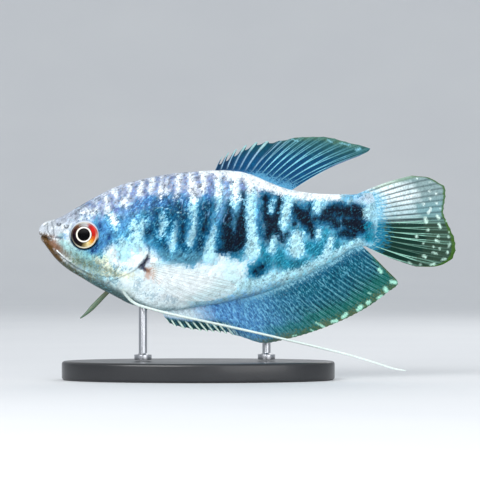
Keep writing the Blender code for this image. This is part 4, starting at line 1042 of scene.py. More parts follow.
def skin_paint(name, colours, scaled):
    """The fish's markings, with painted glints and painted shade. On scales each one also has its own tone
    and a rim darkened by painted shade.
    """
    paint = Paint(name, Roughness=0.4, Coat_Weight=0.03, Coat_Roughness=0.1, Specular_IOR_Level=0.06)
    step, field, lay = paint.step, paint.field, paint.lay
    spot = paint.place()
    slanted = paint.place(longer=(1.0, 1.0, 2.4), turn=(0, 0.75, 0))
    fine = paint.noise(0.35, 3.0, 0.65, spot)
    mottle = paint.noise(1.1, 3.0, 0.6, longer=(1.0, 1.0, 2.2))
    cloud = paint.noise(4.0, 2.0, spot=spot)
    weave = paint.noise(0.36, 2.0, 0.6, slanted)
    streak = paint.noise(0.9, 2.0, 0.55, slanted)
    strands = paint.noise(0.55, 2.0, 0.55, longer=(1.0, 1.0, 5.0), turn=(0, 0.22, 0))
    grain = mottle * 1.6 + fine * 0.9 + weave * 1.6
    if scaled:
        grain = grain + field("tone") * 0.1
    behind, _, above = paint.split(spot)
    behind, above = behind + STAND_BEHIND, above - SNOUT_HEIGHT
    paint.ground(step(above + mottle * 4, 6.0, 11.0), colours.flank, colours.lavender)
    lay(step(above + cloud * 3, -6.0, -11.0), colours.ice)
    lay(step(behind + cloud * 4, 46.0, 60.0) * 0.7, colours.ice)
    lay(step(behind + cloud * 4, 13.0, 7.0), colours.white)
    lay_washes(paint, colours, grain)
    line = step(field("lateral_line") + fine * 0.3, 0.24, 0.05)
    lay(line * step(streak, -0.16, 0.06) * 0.55, colours.ice)

    # The fine speckle, which is weaker on the pale parts and on the back's white, with painted glints in
    # it, and the fine lines of painted shade in the creases and the slit of the mouth.
    pale = step(field("belly_white") + grain, -1.0, 1.0)
    blotch = step(field("bar_dark") + grain, -0.6, 0.6)
    patch = step(field("pale_patch") + grain, -0.6, 0.6)
    ridge = step(field("back_white") + grain * 0.5, -0.6, 0.6)
    scaly = step(behind, 3.0, 12.0)
    nape = step(field("nape_grey") + grain, -1.0, 1.0) * scaly * (1 - ridge * 0.9)
    lit = step(strands, 0.04, 0.2) * step(field("flank_violet") + grain, -2.0, 0.0)
    lay(lit * 0.45, (150, 186, 226), "SCREEN")
    # Painted glints: lighter teal streaks inside the dark blotches.
    lay(blotch * step(weave + fine * 0.4, 0.06, 0.18) * 0.5, (0, 76, 98))
    # Painted glints: pale specks along the scale edges, fewer on the pale parts, in the blotches and on the
    # pale patches.
    bright = step(weave, 0.03, 0.14) * scaly * (0.36 - pale * 0.22 - blotch * 0.32 - patch * 0.2)
    lay(bright, (104, 194, 226), "SCREEN")
    dark = step(weave, -0.03, -0.14) * scaly * (0.52 - pale * 0.46) * (1 - ridge * 0.7)
    lay(dark, (40, 96, 140), "MULTIPLY")
    # Painted shade in the skin's creases and recesses.
    lay(field("crease"), (40, 52, 60), "MULTIPLY")
    # Painted shade, dark brown, along the slit between the lips.
    lay(field("opening") * 0.55, (58, 38, 18))
    light = 0.97 + (fine * 1.3 + streak * 1.2 + mottle * 0.9) * (1 - pale * 0.5 + nape * 0.6 - ridge * 0.5)
    # Each scale's own tone, and painted shade round its rim, strongest at its raised rear edge.
    if scaled:
        light = light + field("tone") * 0.09 - field("rim") * 0.34 + 0.08
    paint.lighten(light)
    return paint.finish(fine + mottle * 0.5, 0.05 if scaled else 0.07, Roughness=0.38 + fine * 0.3)


def painted_crease_shade(behind, above, drop):
    """How dark the painted shade in the skin's creases and recesses is at its points: 1 is darkest. It lies
    behind the gill cover's edge, in the grooves of the jaw, the cheek and the lips, round the eye and most
    below it, and in the nostrils' lower halves.
    """
    gill = bump(behind - gill_edge(drop) - 0.25, 0.3) * gill_share(drop)
    jaw = 0.6 * bump(distance_to(JAW_EDGE, behind, above), 0.18) * (1 - ramp(behind, 11, 17))
    cheek = 0.5 * bump(distance_to(CHEEK_EDGE, behind, above), 0.22)
    socket = 1 - ramp(gap_to(EYE, behind, above), 3.75, 4.15)
    socket = socket * (1 - 0.75 * ramp(above - EYE[1], -0.5, 2.0))
    lines = [gill * blend(0.08, 0.6, bump(above + 7.6, 1.6)), jaw, cheek, socket]
    lines += [0.5 * bump(distance_to(line, behind, above), FOLD_WIDTH) for line in LIP_FOLDS]
    for *nostril, radius in NOSTRILS:
        rim = bump(gap_to(nostril, behind, above) - radius - 0.15, 0.2)
        lines.append(0.85 * rim * (1 - ramp(above - nostril[1], 0.0, 0.5)))
    return np.maximum.reduce(lines)


class GOURAMI_OT_skin(bpy.types.Operator):
    """One seamless skin over the head, the torso and the tail stem"""

    bl_idname = "gourami.skin"
    bl_label = "Skin"

    def execute(self, context):
        closing = [SKIN.points[-1] * (1, width, 1) + (further, 0, 0) for further, width in CLOSING_RINGS]
        points = np.concatenate([SKIN.points, closing])
        points[0, :, 1] = 0.0
        points = np.concatenate([points, points[:, :1]], axis=1)
        behind, across, above = np.moveaxis(points, -1, 0)
        piece = grid_piece("skin", *behind.shape, place(behind, across, above))
        # The first two fields are painted shade: in the skin's creases and recesses, and along the slit
        # between the lips.
        in_mouth = 1 - ramp(behind, MOUTH_CORNER, MOUTH_CORNER + 0.9)
        carry(piece, crease=painted_crease_shade(behind, above, np.append(SKIN.drops, 0.0)),
              opening=bump(mouth_gap(behind, above), 0.24) * in_mouth,
              lateral_line=distance_to(LATERAL_LINE, behind, above))
        carry_washes(piece, behind, above)
        seal(piece, weld=True)
        bpy.ops.object.shade_smooth()
        settle(piece, skin_paint("skin", context.scene.gourami_colours, False), "skin",
               "head", "torso", "tail_stem")
        return {"FINISHED"}


def scale_roots(pitch):
    """The middle of every scale: behind, arc from the widest level, and its share of the full size."""
    roots = []
    behind, column = FIRST_SCALE, 0
    while behind < BODY_END + BODY_END_BULGE - 0.4:
        depth = back(behind) - belly(behind)
        share = float(np.sqrt(min(depth / BODY_DEPTH, 1.0)))
        share *= float(blend(HEAD_SCALE_SHARE, 1.0, ramp(behind, 8.0, 26.0)))
        bottom, top = SKIN.reach(behind)
        row_pitch = SCALE_ROW_PITCH * pitch * share
        first = math.ceil(bottom / row_pitch)
        for row in range(first, math.floor(top / row_pitch) + 1):
            if (row + column) % 2 == 0:
                roots.append((behind, row * row_pitch, share))
        behind += pitch * share / 2
        column += 1
    return np.array(roots)


def is_scaled(behind, above, drop):
    """Where scales grow: not on the face, in the gill opening, round the eye or on the fin's root."""
    past = behind - gill_edge(drop)
    in_opening = (past > -1.3) & (past < 0.5) & (gill_share(drop) > 0.2)
    socket = gap_to(EYE, behind, above) < EYE_MARGIN
    face = behind < 9.0 + np.clip(-1.0 - above, 0, 6)
    throat = (above < -12.5) & (behind < 22)
    shoulder = np.hypot((behind - 29.2) / 1.8, (above + 10.6) / 2.6) < 1
    jaw = distance_to(JAW_EDGE, behind, above) < LINE_MARGIN
    cheek = distance_to(CHEEK_EDGE, behind, above) < LINE_MARGIN
    return ~(in_opening | face | throat | shoulder | jaw | cheek | socket)


def scale_shield(lift):
    """A scale as a rounded shield: middle, inner ring and rim, and under the skin rim and middle again."""
    angles = 2 * np.pi * np.arange(SHIELD_SIDES) / SHIELD_SIDES
    reach = np.where(np.cos(angles) > 0, 0.62, 0.5)
    ring = np.stack([np.cos(angles) * reach, np.sin(angles) * 0.54], -1)
    outline = np.concatenate([[(0.05, 0.0)], ring * 0.62, ring, ring * 0.93, [(0.0, 0.0)]])
    rearward = np.clip((outline[:, 0] + 0.5) / 1.12, 0, 1)
    inner, rim = slice(1, 1 + SHIELD_SIDES), slice(1 + SHIELD_SIDES, 1 + 2 * SHIELD_SIDES)
    height = lift * (0.25 + 0.75 * rearward)
    height[0] += lift * 0.35
    height[inner] += lift * 0.2
    height[rim] -= lift * 0.9 * (1 - rearward[rim])
    height[1 + 2 * SHIELD_SIDES:] = SCALE_FOOT
    # How much painted shade each point takes: none in the middle, a quarter on the inner ring, all on the
    # rim and below it, and more towards the rear edge.
    shade = np.ones(len(outline))
    shade[0] = 0.0
    shade[inner] = 0.25
    faces = []
    for k in range(SHIELD_SIDES):
        here = [1 + k + level * SHIELD_SIDES for level in range(3)]
        there = [1 + (k + 1) % SHIELD_SIDES + level * SHIELD_SIDES for level in range(3)]
        faces.append((0, here[0], there[0]))
        faces += [(here[level], here[level + 1], there[level + 1], there[level]) for level in (0, 1)]
        faces.append((here[2], len(outline) - 1, there[2]))
    return outline, height, shade * (0.4 + 0.6 * rearward), faces


class GOURAMI_OT_scales(bpy.types.Operator):
    """Overlapping scales in rows along both flanks"""

    bl_idname = "gourami.scales"
    bl_label = "Scales"

    def execute(self, context):
        sizes = context.scene.gourami_sizes
        roots = scale_roots(sizes.scale_pitch / MM)
        drop = SKIN.drop_at(roots[:, 0], roots[:, 1])
        roots = roots[is_scaled(roots[:, 0], side_view(roots[:, 0], drop), drop)]
        chance = np.random.default_rng(SCALE_SEED)
        paint = skin_paint("scales", context.scene.gourami_colours, True)
        for name, side in (("scales_left", -1), ("scales_right", 1)):
            piece = self.build_side(context, name, side, roots, chance)
            only(piece)
            bpy.ops.object.shade_smooth_by_angle(angle=math.radians(50))
            settle(piece, paint, "skin")
        return {"FINISHED"}

    def build_side(self, context, name, side, roots, chance):
        sizes = context.scene.gourami_sizes
        pitch, lift = sizes.scale_pitch / MM, sizes.scale_lift / MM
        behind, arc, share = (column[:, None] for column in roots.T)
        outline, height, shade, faces = scale_shield(lift)
        count, size = len(roots), len(outline)
        length = SCALE_LENGTH * pitch * share * (1 + 0.06 * chance.standard_normal((count, 1)))
        width = SCALE_WIDTH * pitch * share * (1 + 0.05 * chance.standard_normal((count, 1)))
        turn = 0.08 * chance.standard_normal((count, 1))
        along, up = outline[:, 0] * length, outline[:, 1] * width
        spot_behind = behind + along * np.cos(turn) - up * np.sin(turn)
        spot_arc = arc + up * np.cos(turn) + along * np.sin(turn)
        points, normals = SKIN.at(spot_behind, spot_arc, side)
        lifts = height * (1 + 0.25 * chance.standard_normal((count, 1))) * share ** 0.5
        points = points + normals * lifts[..., None]
        spot_behind, _, spot_above = np.moveaxis(points, -1, 0)
        middle_above = spot_above[:, :1]
        turned = [face if side < 0 else face[::-1] for face in faces]
        every = [tuple(start + corner for corner in face) for start in range(0, count * size, size)
                 for face in turned]
        mesh = bpy.data.meshes.new(name)
        mesh.from_pydata(place(*np.moveaxis(points, -1, 0)).reshape(-1, 3).tolist(), [], every)
        piece = bpy.data.objects.new(name, mesh)
        context.scene.collection.objects.link(piece)
        # Each scale's random tone, and its rim of painted shade, fainter on the white belly.
        tone = chance.standard_normal((count, 1)) + np.zeros(size)
        whiteness = ramp(-middle_above, 6, 9) * (1 - ramp(behind, 50, 60))
        unmarked = np.zeros(count * size)
        carry(piece, tone=tone, rim=shade * (1 - 0.6 * whiteness), crease=unmarked, opening=unmarked,
              lateral_line=distance_to(LATERAL_LINE, spot_behind, spot_above))
        carry_washes(piece, blend(spot_behind, behind, 0.35), blend(spot_above, middle_above, 0.35))
        self.unwrap(piece, behind, arc, side, outline)
        return piece

    @staticmethod
    def unwrap(piece, behind, arc, side, outline):
        """Lays each scale as a small patch at its root's place on the unrolled skin."""
        u = 0.03 + 0.94 * behind / UNROLLED_LENGTH + outline[:, 0] * SCALE_PATCH
        v = 0.5 + side * (0.25 - arc / UNROLLED_GIRTH) + outline[:, 1] * SCALE_PATCH
        spots = np.stack([u, v], -1).reshape(-1, 2)
        corners = np.empty(len(piece.data.loops), np.int32)
        piece.data.loops.foreach_get("vertex_index", corners)
        layer = piece.data.uv_layers.new(name="OFBake")
        layer.data.foreach_set("uv", spots[corners].reshape(-1).astype(np.float32))


class GOURAMI_OT_eyes(bpy.types.Operator):
    """Both eyes, each a wet dome with a ringed iris"""

    bl_idname = "gourami.eyes"
    bl_label = "Eyes"

    def execute(self, context):
        paint = eye_paint(context.scene.gourami_sizes)
        radius = EYE_RADIUS - EYE_GAP
        for name, side in (("eye_left_ball", -1), ("eye_right_ball", 1)):
            facing = flank_direction(*EYE, side)
            turn = facing.to_track_quat("Z", "Y")
            clear_selection()
            bpy.ops.mesh.primitive_uv_sphere_add(segments=72, ring_count=48, radius=1.0)
            piece = just_made(name)
            co = np.array([vert.co for vert in piece.data.vertices])
            up = co @ np.array(turn.inverted() @ Vector((0, 0, 1)))
            behind = co @ np.array(turn.inverted() @ Vector((1, 0, 0)))
            off_pupil = np.hypot(up - PUPIL_ABOVE / EYE_RADIUS, behind + PUPIL_AHEAD / EYE_RADIUS) * radius
            carry(piece, gap=np.hypot(co[:, 0], co[:, 1]) * radius, eye_up=up, eye_behind=behind,
                  pupil_gap=off_pupil + 9 * (co[:, 2] < 0))
            piece.scale = (radius * MM, radius * MM, EYE_DEPTH * MM)
            piece.rotation_mode = "QUATERNION"
            piece.rotation_quaternion = turn
            piece.location = Vector(place(EYE[0], side * flank(*EYE), EYE[1])) - facing * EYE_SUNK * MM
            bpy.ops.object.shade_smooth()
            settle(piece, paint, "eye", name.replace("_ball", ""))
        return {"FINISHED"}


def eye_paint(sizes):
    """A black pupil in a pale ring, an iris whose colour turns round it, a pale outer ring, and painted
    shade round the edge, darkest below.
    """
    paint = Paint("eye", Roughness=0.25, Coat_Weight=0.02, Coat_Roughness=0.02, Specular_IOR_Level=0.05)
    step, lay = paint.step, paint.lay
    up, behind, gap, pupil_gap = paint.fields("eye_up", "eye_behind", "gap", "pupil_gap")
    turn = paint.node("Math", {"operation": "ARCTAN2"}, {0: up, 1: behind}) / (2 * math.pi) + 0.5
    fibres = paint.noise(0.28, 3.0, 0.7)
    hues = [(position, linear(hue)) for position, hue in IRIS_HUES]
    iris = paint.node("ValToRGB", {"stops": hues}, {0: turn + fibres * 0.1})
    iris = paint.mix(step(fibres, 0.0, 0.3) * 0.5, iris, (20, 8, 8))
    ring_stops = [(position, (share,) * 3) for position, share in RING_SHARES]
    ring = paint.node("ValToRGB", {"stops": ring_stops}, {0: turn + fibres * 0.08})
    pupil = sizes.pupil_radius / MM
    middle = pupil_gap + fibres * 0.1
    edge = gap + fibres * 0.12
    paint.ground(step(middle, pupil + 0.3, pupil + 0.46), (240, 234, 222), (22, 12, 12))
    lay(step(middle, pupil + 0.36, pupil + 0.64), iris)
    lay(step(middle, pupil + 0.05, pupil - 0.04), (2, 2, 3))
    lay(step(edge, 3.02, 3.22) * paint.node("RGBToBW", {}, {0: ring}), (222, 216, 192))
    lower = step(up, 0.0, -0.35)
    # Painted shadow along the eye's lower edge.
    lay(step(edge, 3.38, 3.48) * lower, (4, 8, 12))
    # The outermost band is painted shade where the eye meets its socket: pale grey and wider above, dark
    # below.
    socket_shade = paint.mix(lower, (196, 204, 214), (34, 66, 88))
    lay(step(edge + step(up, 0.2, 0.8) * 0.22, 3.62, 3.72), socket_shade)
    return paint.finish(step(middle, pupil, pupil + 0.2) + fibres * 0.3, 0.04)


def ray_shares(fin):
    """The shares along a fin at which its spines and its soft rays stand."""
    spiny = [fin.spiny_share * k / fin.spines for k in range(fin.spines)]
    soft = [blend(fin.spiny_share, 1.0, k / (fin.rays - 1)) for k in range(fin.rays)]
    return np.array(spiny + soft)


def notches(fin, share, between, is_spiny):
    """How far the membrane's edge stays behind the tips of the rays, in shares of their length."""
    bare = blend(*fin.bare, ramp(share, 0.0, BARE_UNTIL))
    bare = bare * ramp(np.minimum(between, 1 - between), *NOTCH_SIDES)
    return np.where(is_spiny, bare, SOFT_NOTCH * np.sin(np.pi * between))


def ray_crests(offset, reach, is_soft):
    """How far the rays stand out: 1 on a crest. Soft rays fork twice on their way out, and spines don't."""
    first_fork, second_fork = (spread * ramp(reach, *opening) for spread, *opening in FORKS)
    width = np.where(is_soft, blend(*RAY_WIDTH, reach), SPINE_WIDTH)
    crests = [bump(offset - np.where(is_soft, one * first_fork + two * second_fork, 0.0), width)
              for one in (-1, 1) for two in (-1, 1)]
    return np.maximum.reduce(crests)


def thicken(piece, half):
    """Turns a sheet into a closed body, which reaches out by half to either side of each point."""
    thickest = float(half.max())
    group = piece.vertex_groups.new(name="thickness")
    for index, value in enumerate((half / thickest).reshape(-1)):
        group.add([index], float(value), "REPLACE")
    only(piece)
    solid = piece.modifiers.new("Thickness", "SOLIDIFY")
    solid.thickness = 2 * thickest
    solid.offset = 0.0
    solid.use_rim = True
    solid.vertex_group = "thickness"
    bpy.ops.object.modifier_apply(modifier=solid.name)
    piece.vertex_groups.clear()
    seal(piece)


def fin_piece(name, fin, sizes, root, lean):
    """A fin of one membrane with its rays, from its root to its line of tips."""
    shares = ray_shares(fin)
    steps = np.arange((len(shares) - 1) * FIN_GRAIN + 1) / FIN_GRAIN
    share = np.interp(steps, np.arange(len(shares)), shares)
    between = steps % 1.0
    is_spiny = share < fin.spiny_share - 1e-6
    notch = notches(fin, share, between, is_spiny)
    reach = (1 - notch)[:, None] * np.linspace(0, 1, fin.rows + 1) ** 0.9
    start, end = (np.stack(line(share), -1)[:, None, :] for line in (root, tip_line(fin.tips)))
    run = end - start
    bow = blend(*fin.bow, share)[:, None, None] * np.sin(np.pi * reach)[..., None]
    spot = start + run * reach[..., None] + np.stack([-run[..., 1], run[..., 0]], -1) * bow
    points = place(spot[..., 0], lean(share[:, None], reach), spot[..., 1])
    offset = np.where(between > 0.5, between - 1, between)[:, None]
    crest = ray_crests(offset, reach, ~is_spiny[:, None])
    base = 1 + 1.6 * (1 - ramp(reach, 0.0, 0.12))
    half = sizes.membrane * base + sizes.ray_height * crest * blend(1.0, 0.45, reach)
    half = half * (1 - ramp(reach, 0.9, 1.0) * 0.6)
    piece = grid_piece(name, *reach.shape, points)
    tones = np.random.default_rng(RAY_SEED).uniform(0.35, 1.0, len(shares) + 1)[np.round(steps).astype(int)]
    flat = np.zeros(reach.shape)
    carry(piece, ray=crest, seam=bump(0.5 - np.abs(offset), 0.17) + flat, out=reach,
          along=share[:, None] + flat, ray_tone=tones[:, None] + flat)
    thicken(piece, half)
    bpy.ops.object.shade_smooth_by_angle(angle=math.radians(60))
    return piece


def carry_spots(piece, spots):
    """Stores how deep inside the nearest pale spot and how far below the belly each point of a fin lies."""
    co = np.empty(len(piece.data.vertices) * 3, np.float32)
    piece.data.vertices.foreach_get("co", co)
    co = co.reshape(-1, 3) / MM
    behind, above = co[:, 0] + STAND_BEHIND, co[:, 2] - SNOUT_HEIGHT
    carry(piece, spot=depth_in(spots, behind, above), below=belly(behind) - above)


def wave(turns, start):
    """A fin's sideways wave, which grows from its root to its tips."""
    return lambda share, out: FIN_WAVE * out * np.sin(2 * np.pi * (turns * share + start))


def fin_paint(name):
    return Paint(name, Roughness=0.42, Coat_Weight=0.06, Coat_Roughness=0.2, Specular_IOR_Level=0.06)


def finish_fin(paint, spot_colour, fine):
    """Spots, tone and relief that the blue and green fins share."""
    spots = paint.step(paint.field("spot") + fine * 0.8, -0.28, 0.42)
    paint.lay(spots * 0.84, spot_colour)
    paint.lighten(1.0 + fine * 1.1)
    paint.finish(fine, 0.04, Roughness=0.38 + fine * 0.3)


class GOURAMI_OT_dorsal_fin(bpy.types.Operator):
    """The swept dorsal fin, with bare spine tips in front"""

    bl_idname = "gourami.dorsal_fin"
    bl_label = "Dorsal Fin"

    def execute(self, context):
        def root(share):
            behind = blend(*DORSAL_ROOT, share)
            return behind, back(behind) - 0.35

        sizes = context.scene.gourami_sizes
        piece = fin_piece("dorsal_fin_membrane", DORSAL_FIN, sizes, root, wave(1.1, 0.1))
        carry_spots(piece, DORSAL_SPOTS)
        settle(piece, self.paint(context.scene.gourami_colours), "fin", "dorsal_fin")
        return {"FINISHED"}

    @staticmethod
    def paint(colours):
        paint = fin_paint("dorsal_fin")
        step, lay = paint.step, paint.lay
        ray, out, along, tone = paint.fields("ray", "out", "along", "ray_tone")
        fine = paint.noise(0.4, 3.0, 0.6)
        cloud = paint.noise(2.6, 3.0, 0.6)
        paint.ground(step(out + fine * 0.3 + cloud * 0.8, 0.3, 0.9), colours.dorsal, (6, 62, 78))
        lay(step(cloud, 0.0, 0.2) * 0.5, (0, 84, 124))
        lay(step(along, 0.3, 0.1) * 0.6, (12, 26, 48))
        lay(step(out + fine * 0.3, 0.12, 0.0) * 0.4, colours.blue)
        sheath = step(out + fine * 0.5, 0.17, 0.02) * step(along, 0.36, 0.52)
        lay(sheath * 0.6, (104, 178, 214))
        rear = step(along, 0.42, 0.6)
        shown = step(ray, 0.45, 0.95) * (0.5 + tone * 0.44) * step(out + fine * 0.1, 0.03, 0.3)
        fading = step(out + cloud * 0.5, 0.45, 0.8)
        lay(shown * (1 - fading * rear * 0.58), paint.mix(rear, (142, 180, 204), (140, 220, 236)))
        veil = step(out + cloud * 0.5 + fine * 0.2, 0.56, 0.88) * step(along, 0.46, 0.62)
        lay(veil * 0.5, (44, 88, 84))
        top = step(out + fine * 0.2, 0.86, 0.98) * step(along, 0.4, 0.55) * step(along, 0.92, 0.8)
        lay(top * 0.42, (92, 126, 92))
        lay(step(along, 0.94, 0.99) * step(out, 0.4, 0.7) * 0.6, (136, 150, 186))
        tips = step(out, 0.62, 0.86) * step(along, 0.45, 0.4) * step(ray, 0.2, 0.6)
        lay(tips * 0.75, (150, 192, 190))
        finish_fin(paint, (126, 188, 206), fine)
        return paint


class GOURAMI_OT_anal_fin(bpy.types.Operator):
    """The long anal fin, blue in front and green with pale spots behind"""

    bl_idname = "gourami.anal_fin"
    bl_label = "Anal Fin"

    def execute(self, context):
        def root(share):
            behind = blend(*ANAL_ROOT, share)
            return behind, belly(behind) + 0.5

        sizes = context.scene.gourami_sizes
        piece = fin_piece("anal_fin_membrane", ANAL_FIN, sizes, root, wave(1.6, 0.3))
        carry_spots(piece, ANAL_SPOTS)
        settle(piece, self.paint(context.scene.gourami_colours), "fin", "anal_fin")
        return {"FINISHED"}

    @staticmethod
    def paint(colours):
        paint = fin_paint("anal_fin")
        step, lay = paint.step, paint.lay
        ray, out, along, tone, below = paint.fields("ray", "out", "along", "ray_tone", "below")
        fine = paint.noise(0.4, 3.0, 0.6)
        cloud = paint.noise(5.0, 2.0)
        weave = paint.noise(0.36, 2.0, 0.6, longer=(1.0, 1.0, 2.4), turn=(0, -0.6, 0))
        paint.ground(step(along + cloud * 0.2, 0.2, 0.7), (88, 148, 204), (4, 92, 114))
        front = step(along + cloud * 0.1 + weave * 0.1, 0.26, 0.12)
        lay(front * step(out + fine * 0.3, 0.66, 0.36) * 0.9, colours.milk)
        outer = step(along + fine * 0.1, 0.36, 0.22) * step(out + weave * 0.4, 0.46, 0.62)
        lay(outer * 0.95, (6, 56, 48))
        lay(step(out + cloud * 0.3, 0.4, 0.85) * step(along, 0.35, 0.7), (2, 78, 76))
        deep = step(below + cloud * 3, 4.2, 1.6) * step(along, 0.45, 0.65)
        lay(deep, (0, 82, 112))

        # Rays: dark gaps between them, pale lines that break off, and white spines in front.
        rear = step(along, 0.35, 0.8) * step(out, 0.15, 0.6)
        lay(step(ray, 0.4, 0.05) * (0.15 + rear * 0.35), (30, 100, 120), "MULTIPLY")
        broken = step(paint.noise(1.3, longer=(1.0, 1.0, 2.0), turn=(0, -0.7, 0)), -0.16, 0.1)
        shown = step(ray, 0.5, 1.0) * tone * (0.35 + broken * 0.65)
        lay(shown * (0.28 + rear * 0.42), (144, 212, 220))
        sliver = step(ray, 0.25, 0.6) * step(along, 0.3, 0.24) * step(out + fine * 0.1, 0.54, 0.7)
        lay(sliver * 0.95, (216, 240, 226))

        bright = step(weave, 0.02, 0.14) * (0.42 - rear * 0.36 - deep * 0.24 - front * 0.2)
        lay(bright, (130, 200, 228), "SCREEN")
        lay(step(weave, -0.02, -0.14) * (0.6 - front * 0.4), (40, 96, 150), "MULTIPLY")
        green = step(out + fine * 0.4 + cloud * 0.2, 0.6, 0.82) * step(along, 0.34, 0.46)
        lay(green * 0.6, (6, 96, 86))
        rim = step(out + fine * 0.5, 0.82, 0.98) * step(along + fine * 0.1, 0.27, 0.36)
        lay(rim * 0.8, paint.mix(step(cloud + fine * 0.5, -0.2, 0.2), (48, 86, 54), (92, 94, 62)))
        lay(step(out, 0.9, 0.97) * step(along, 0.93, 0.95) * 0.8, (18, 62, 14))
        root_pale = step(below + weave * 7 + fine * 5, 1.5, -0.3) * step(along, 0.34, 0.5)
        lay(root_pale * 0.75, (140, 202, 222))
        finish_fin(paint, colours.mint, fine)
        return paint


class GOURAMI_OT_tail_fin(bpy.types.Operator):
    """The tail fin, silvery above and dark green with pale spots below"""

    bl_idname = "gourami.tail_fin"
    bl_label = "Tail Fin"

    def execute(self, context):
        ripple = wave(1.0, 0.0)

        def root(share):
            drop = blend(0.03, 0.97, share)
            behind = tail_end(drop) - 0.9 - 2.4 * (1 - ramp(share, 0.0, 0.12))
            return behind, side_view(behind, drop)

        def lean(share, out):
            return CAUDAL_LEAN * out * out + ripple(share, out)

        piece = fin_piece("tail_fin_membrane", TAIL_FIN, context.scene.gourami_sizes, root, lean)
        carry_spots(piece, CAUDAL_SPOTS)
        settle(piece, self.paint(context.scene.gourami_colours), "fin", "caudal_fin")
        return {"FINISHED"}

    @staticmethod
    def paint(colours):
        paint = fin_paint("tail_fin")
        step, mix, lay = paint.step, paint.mix, paint.lay
        ray, out, along, tone, seam = paint.fields("ray", "out", "along", "ray_tone", "seam")
        fine = paint.noise(0.4, 3.0, 0.6)
        cloud = paint.noise(3.0, 3.0, 0.6)
        weave = paint.noise(0.4, 2.0, 0.6, longer=(2.4, 1.0, 1.0))
        lower = step(along + fine * 0.16, 0.45, 0.6)
        outward = step(out + cloud * 0.5, 0.56, 0.76)
        silver = mix(step(cloud + fine * 0.5, 0.1, -0.2) * 0.6, (222, 236, 238), (156, 184, 188))
        silver = mix(outward * 0.8, silver, (92, 126, 128))
        silver = mix(step(along + cloud * 0.1, 0.24, 0.44) * 0.45, silver, (96, 156, 166))
        silver = mix(seam * (0.72 + tone * 0.28) * (1.0 - outward * 0.4), silver, (4, 36, 40))
        green = mix(outward, colours.caudal, (40, 62, 50))
        forks = step(ray, 0.5, 1.0) * (0.15 + step(tone, 0.4, 0.8) * 0.75) * (1 - outward * 0.72)
        paint.ground(lower, silver, mix(forks, green, (164, 224, 204)))
        root_blue = mix(lower, (124, 192, 220), (22, 122, 154))
        root_blue = mix(step(weave, 0.0, 0.16) * 0.6, root_blue, (176, 226, 238))
        root_blue = mix(step(weave, -0.02, -0.16) * 0.5, root_blue, (10, 84, 122))
        lay(step(out + weave * 0.5 + cloud * 0.1, 0.32, 0.14) * 0.9, root_blue)
        lay(step(along + fine * 0.06, 0.07, 0.0) * step(out, 0.2, 0.5) * 0.5, (150, 182, 146))
        edge = step(out + fine * 0.05 + step(along, 0.5, 0.75) * 0.015, 0.955, 0.98)
        lay(edge * 0.85, (56, 92, 24))
        finish_fin(paint, mix(lower, (222, 240, 236), (196, 236, 220)), fine)
        return paint


class GOURAMI_OT_pectoral_fins(bpy.types.Operator):
    """The pair of clear pectoral fins"""

    bl_idname = "gourami.pectoral_fins"
    bl_label = "Pectoral Fins"

    def execute(self, context):
        paint = self.paint()
        for name, side in (("pectoral_fin_left", -1), ("pectoral_fin_right", 1)):

            def root(share):
                return tuple(blend(top, bottom, share) for top, bottom in zip(*PECTORAL_ROOT))

            def lean(share, out):
                rise = PECTORAL_RISE * np.minimum(out * 4, 1.0) - PECTORAL_SINK
                return side * (flank(*root(share)) + rise + PECTORAL_SPREAD * out)

            piece = fin_piece(name + "_membrane", PECTORAL_FIN, context.scene.gourami_sizes, root, lean)
            settle(piece, paint, "clear_fin", name)
        return {"FINISHED"}

    @staticmethod
    def paint():
        paint = fin_paint("clear_fin")
        ray, out = paint.fields("ray", "out")
        fine = paint.noise(0.4, 3.0, 0.6)
        broken = paint.step(paint.noise(1.2, longer=(4.0, 4.0, 1.0)), -0.16, 0.16)
        paint.ground(paint.step(ray, 0.4, 1.0), (240, 248, 248), (150, 158, 156))
        paint.lay(paint.step(out + fine * 0.1, 0.12, 0.0), (206, 168, 132))
        clear = 0.09 + ray * (0.1 + broken * 0.2) + paint.step(out, 0.14, 0.0) * 0.3
        return paint.finish(fine, 0.03, Alpha=clear)


class GOURAMI_OT_feelers(bpy.types.Operator):
    """The two thread-like pelvic fins"""

    bl_idname = "gourami.feelers"
    bl_label = "Feelers"

    def execute(self, context):
        colours = context.scene.gourami_colours
        for name, knots, green in (("pelvic_fin_left", LEFT_FEELER, 0.0),
                                   ("pelvic_fin_right", RIGHT_FEELER, 1.0)):
            share = np.linspace(0, 1, FEELER_GRAIN * (len(knots) - 1) + 1)[:, None]
            behind, across, above, high, thick = path_through(knots)(share)
            run, rise = np.gradient(behind, axis=0), np.gradient(above, axis=0)
            length = np.hypot(run, rise)
            angles = 2 * np.pi * np.arange(FEELER_SIDES + 1) / FEELER_SIDES
            points = place(behind - rise / length * high * np.cos(angles), across + thick * np.sin(angles),
                           above + run / length * high * np.cos(angles))
            piece = grid_piece(name + "_thread", *points.shape[:2], points)
            carry(piece, out=share + 0 * angles)
            seal(piece, weld=True, caps=True)
            bpy.ops.object.shade_smooth()
            settle(piece, self.paint(name, colours, green), "feeler", name)
        return {"FINISHED"}

    @staticmethod
    def paint(name, colours, green):
        paint = Paint(name, Roughness=0.45, Coat_Weight=0.2, Subsurface_Weight=0.1)
        fine = paint.noise(0.5, 3.0, 0.6)
        paint.ground(green, colours.feeler, (58, 98, 76))
        paint.lay(paint.step(paint.field("out") + fine * 0.2, 0.25, 0.0) * 0.5, colours.slate)
        paint.lighten(1.0 + fine * 0.6)
        return paint.finish(fine, 0.05)


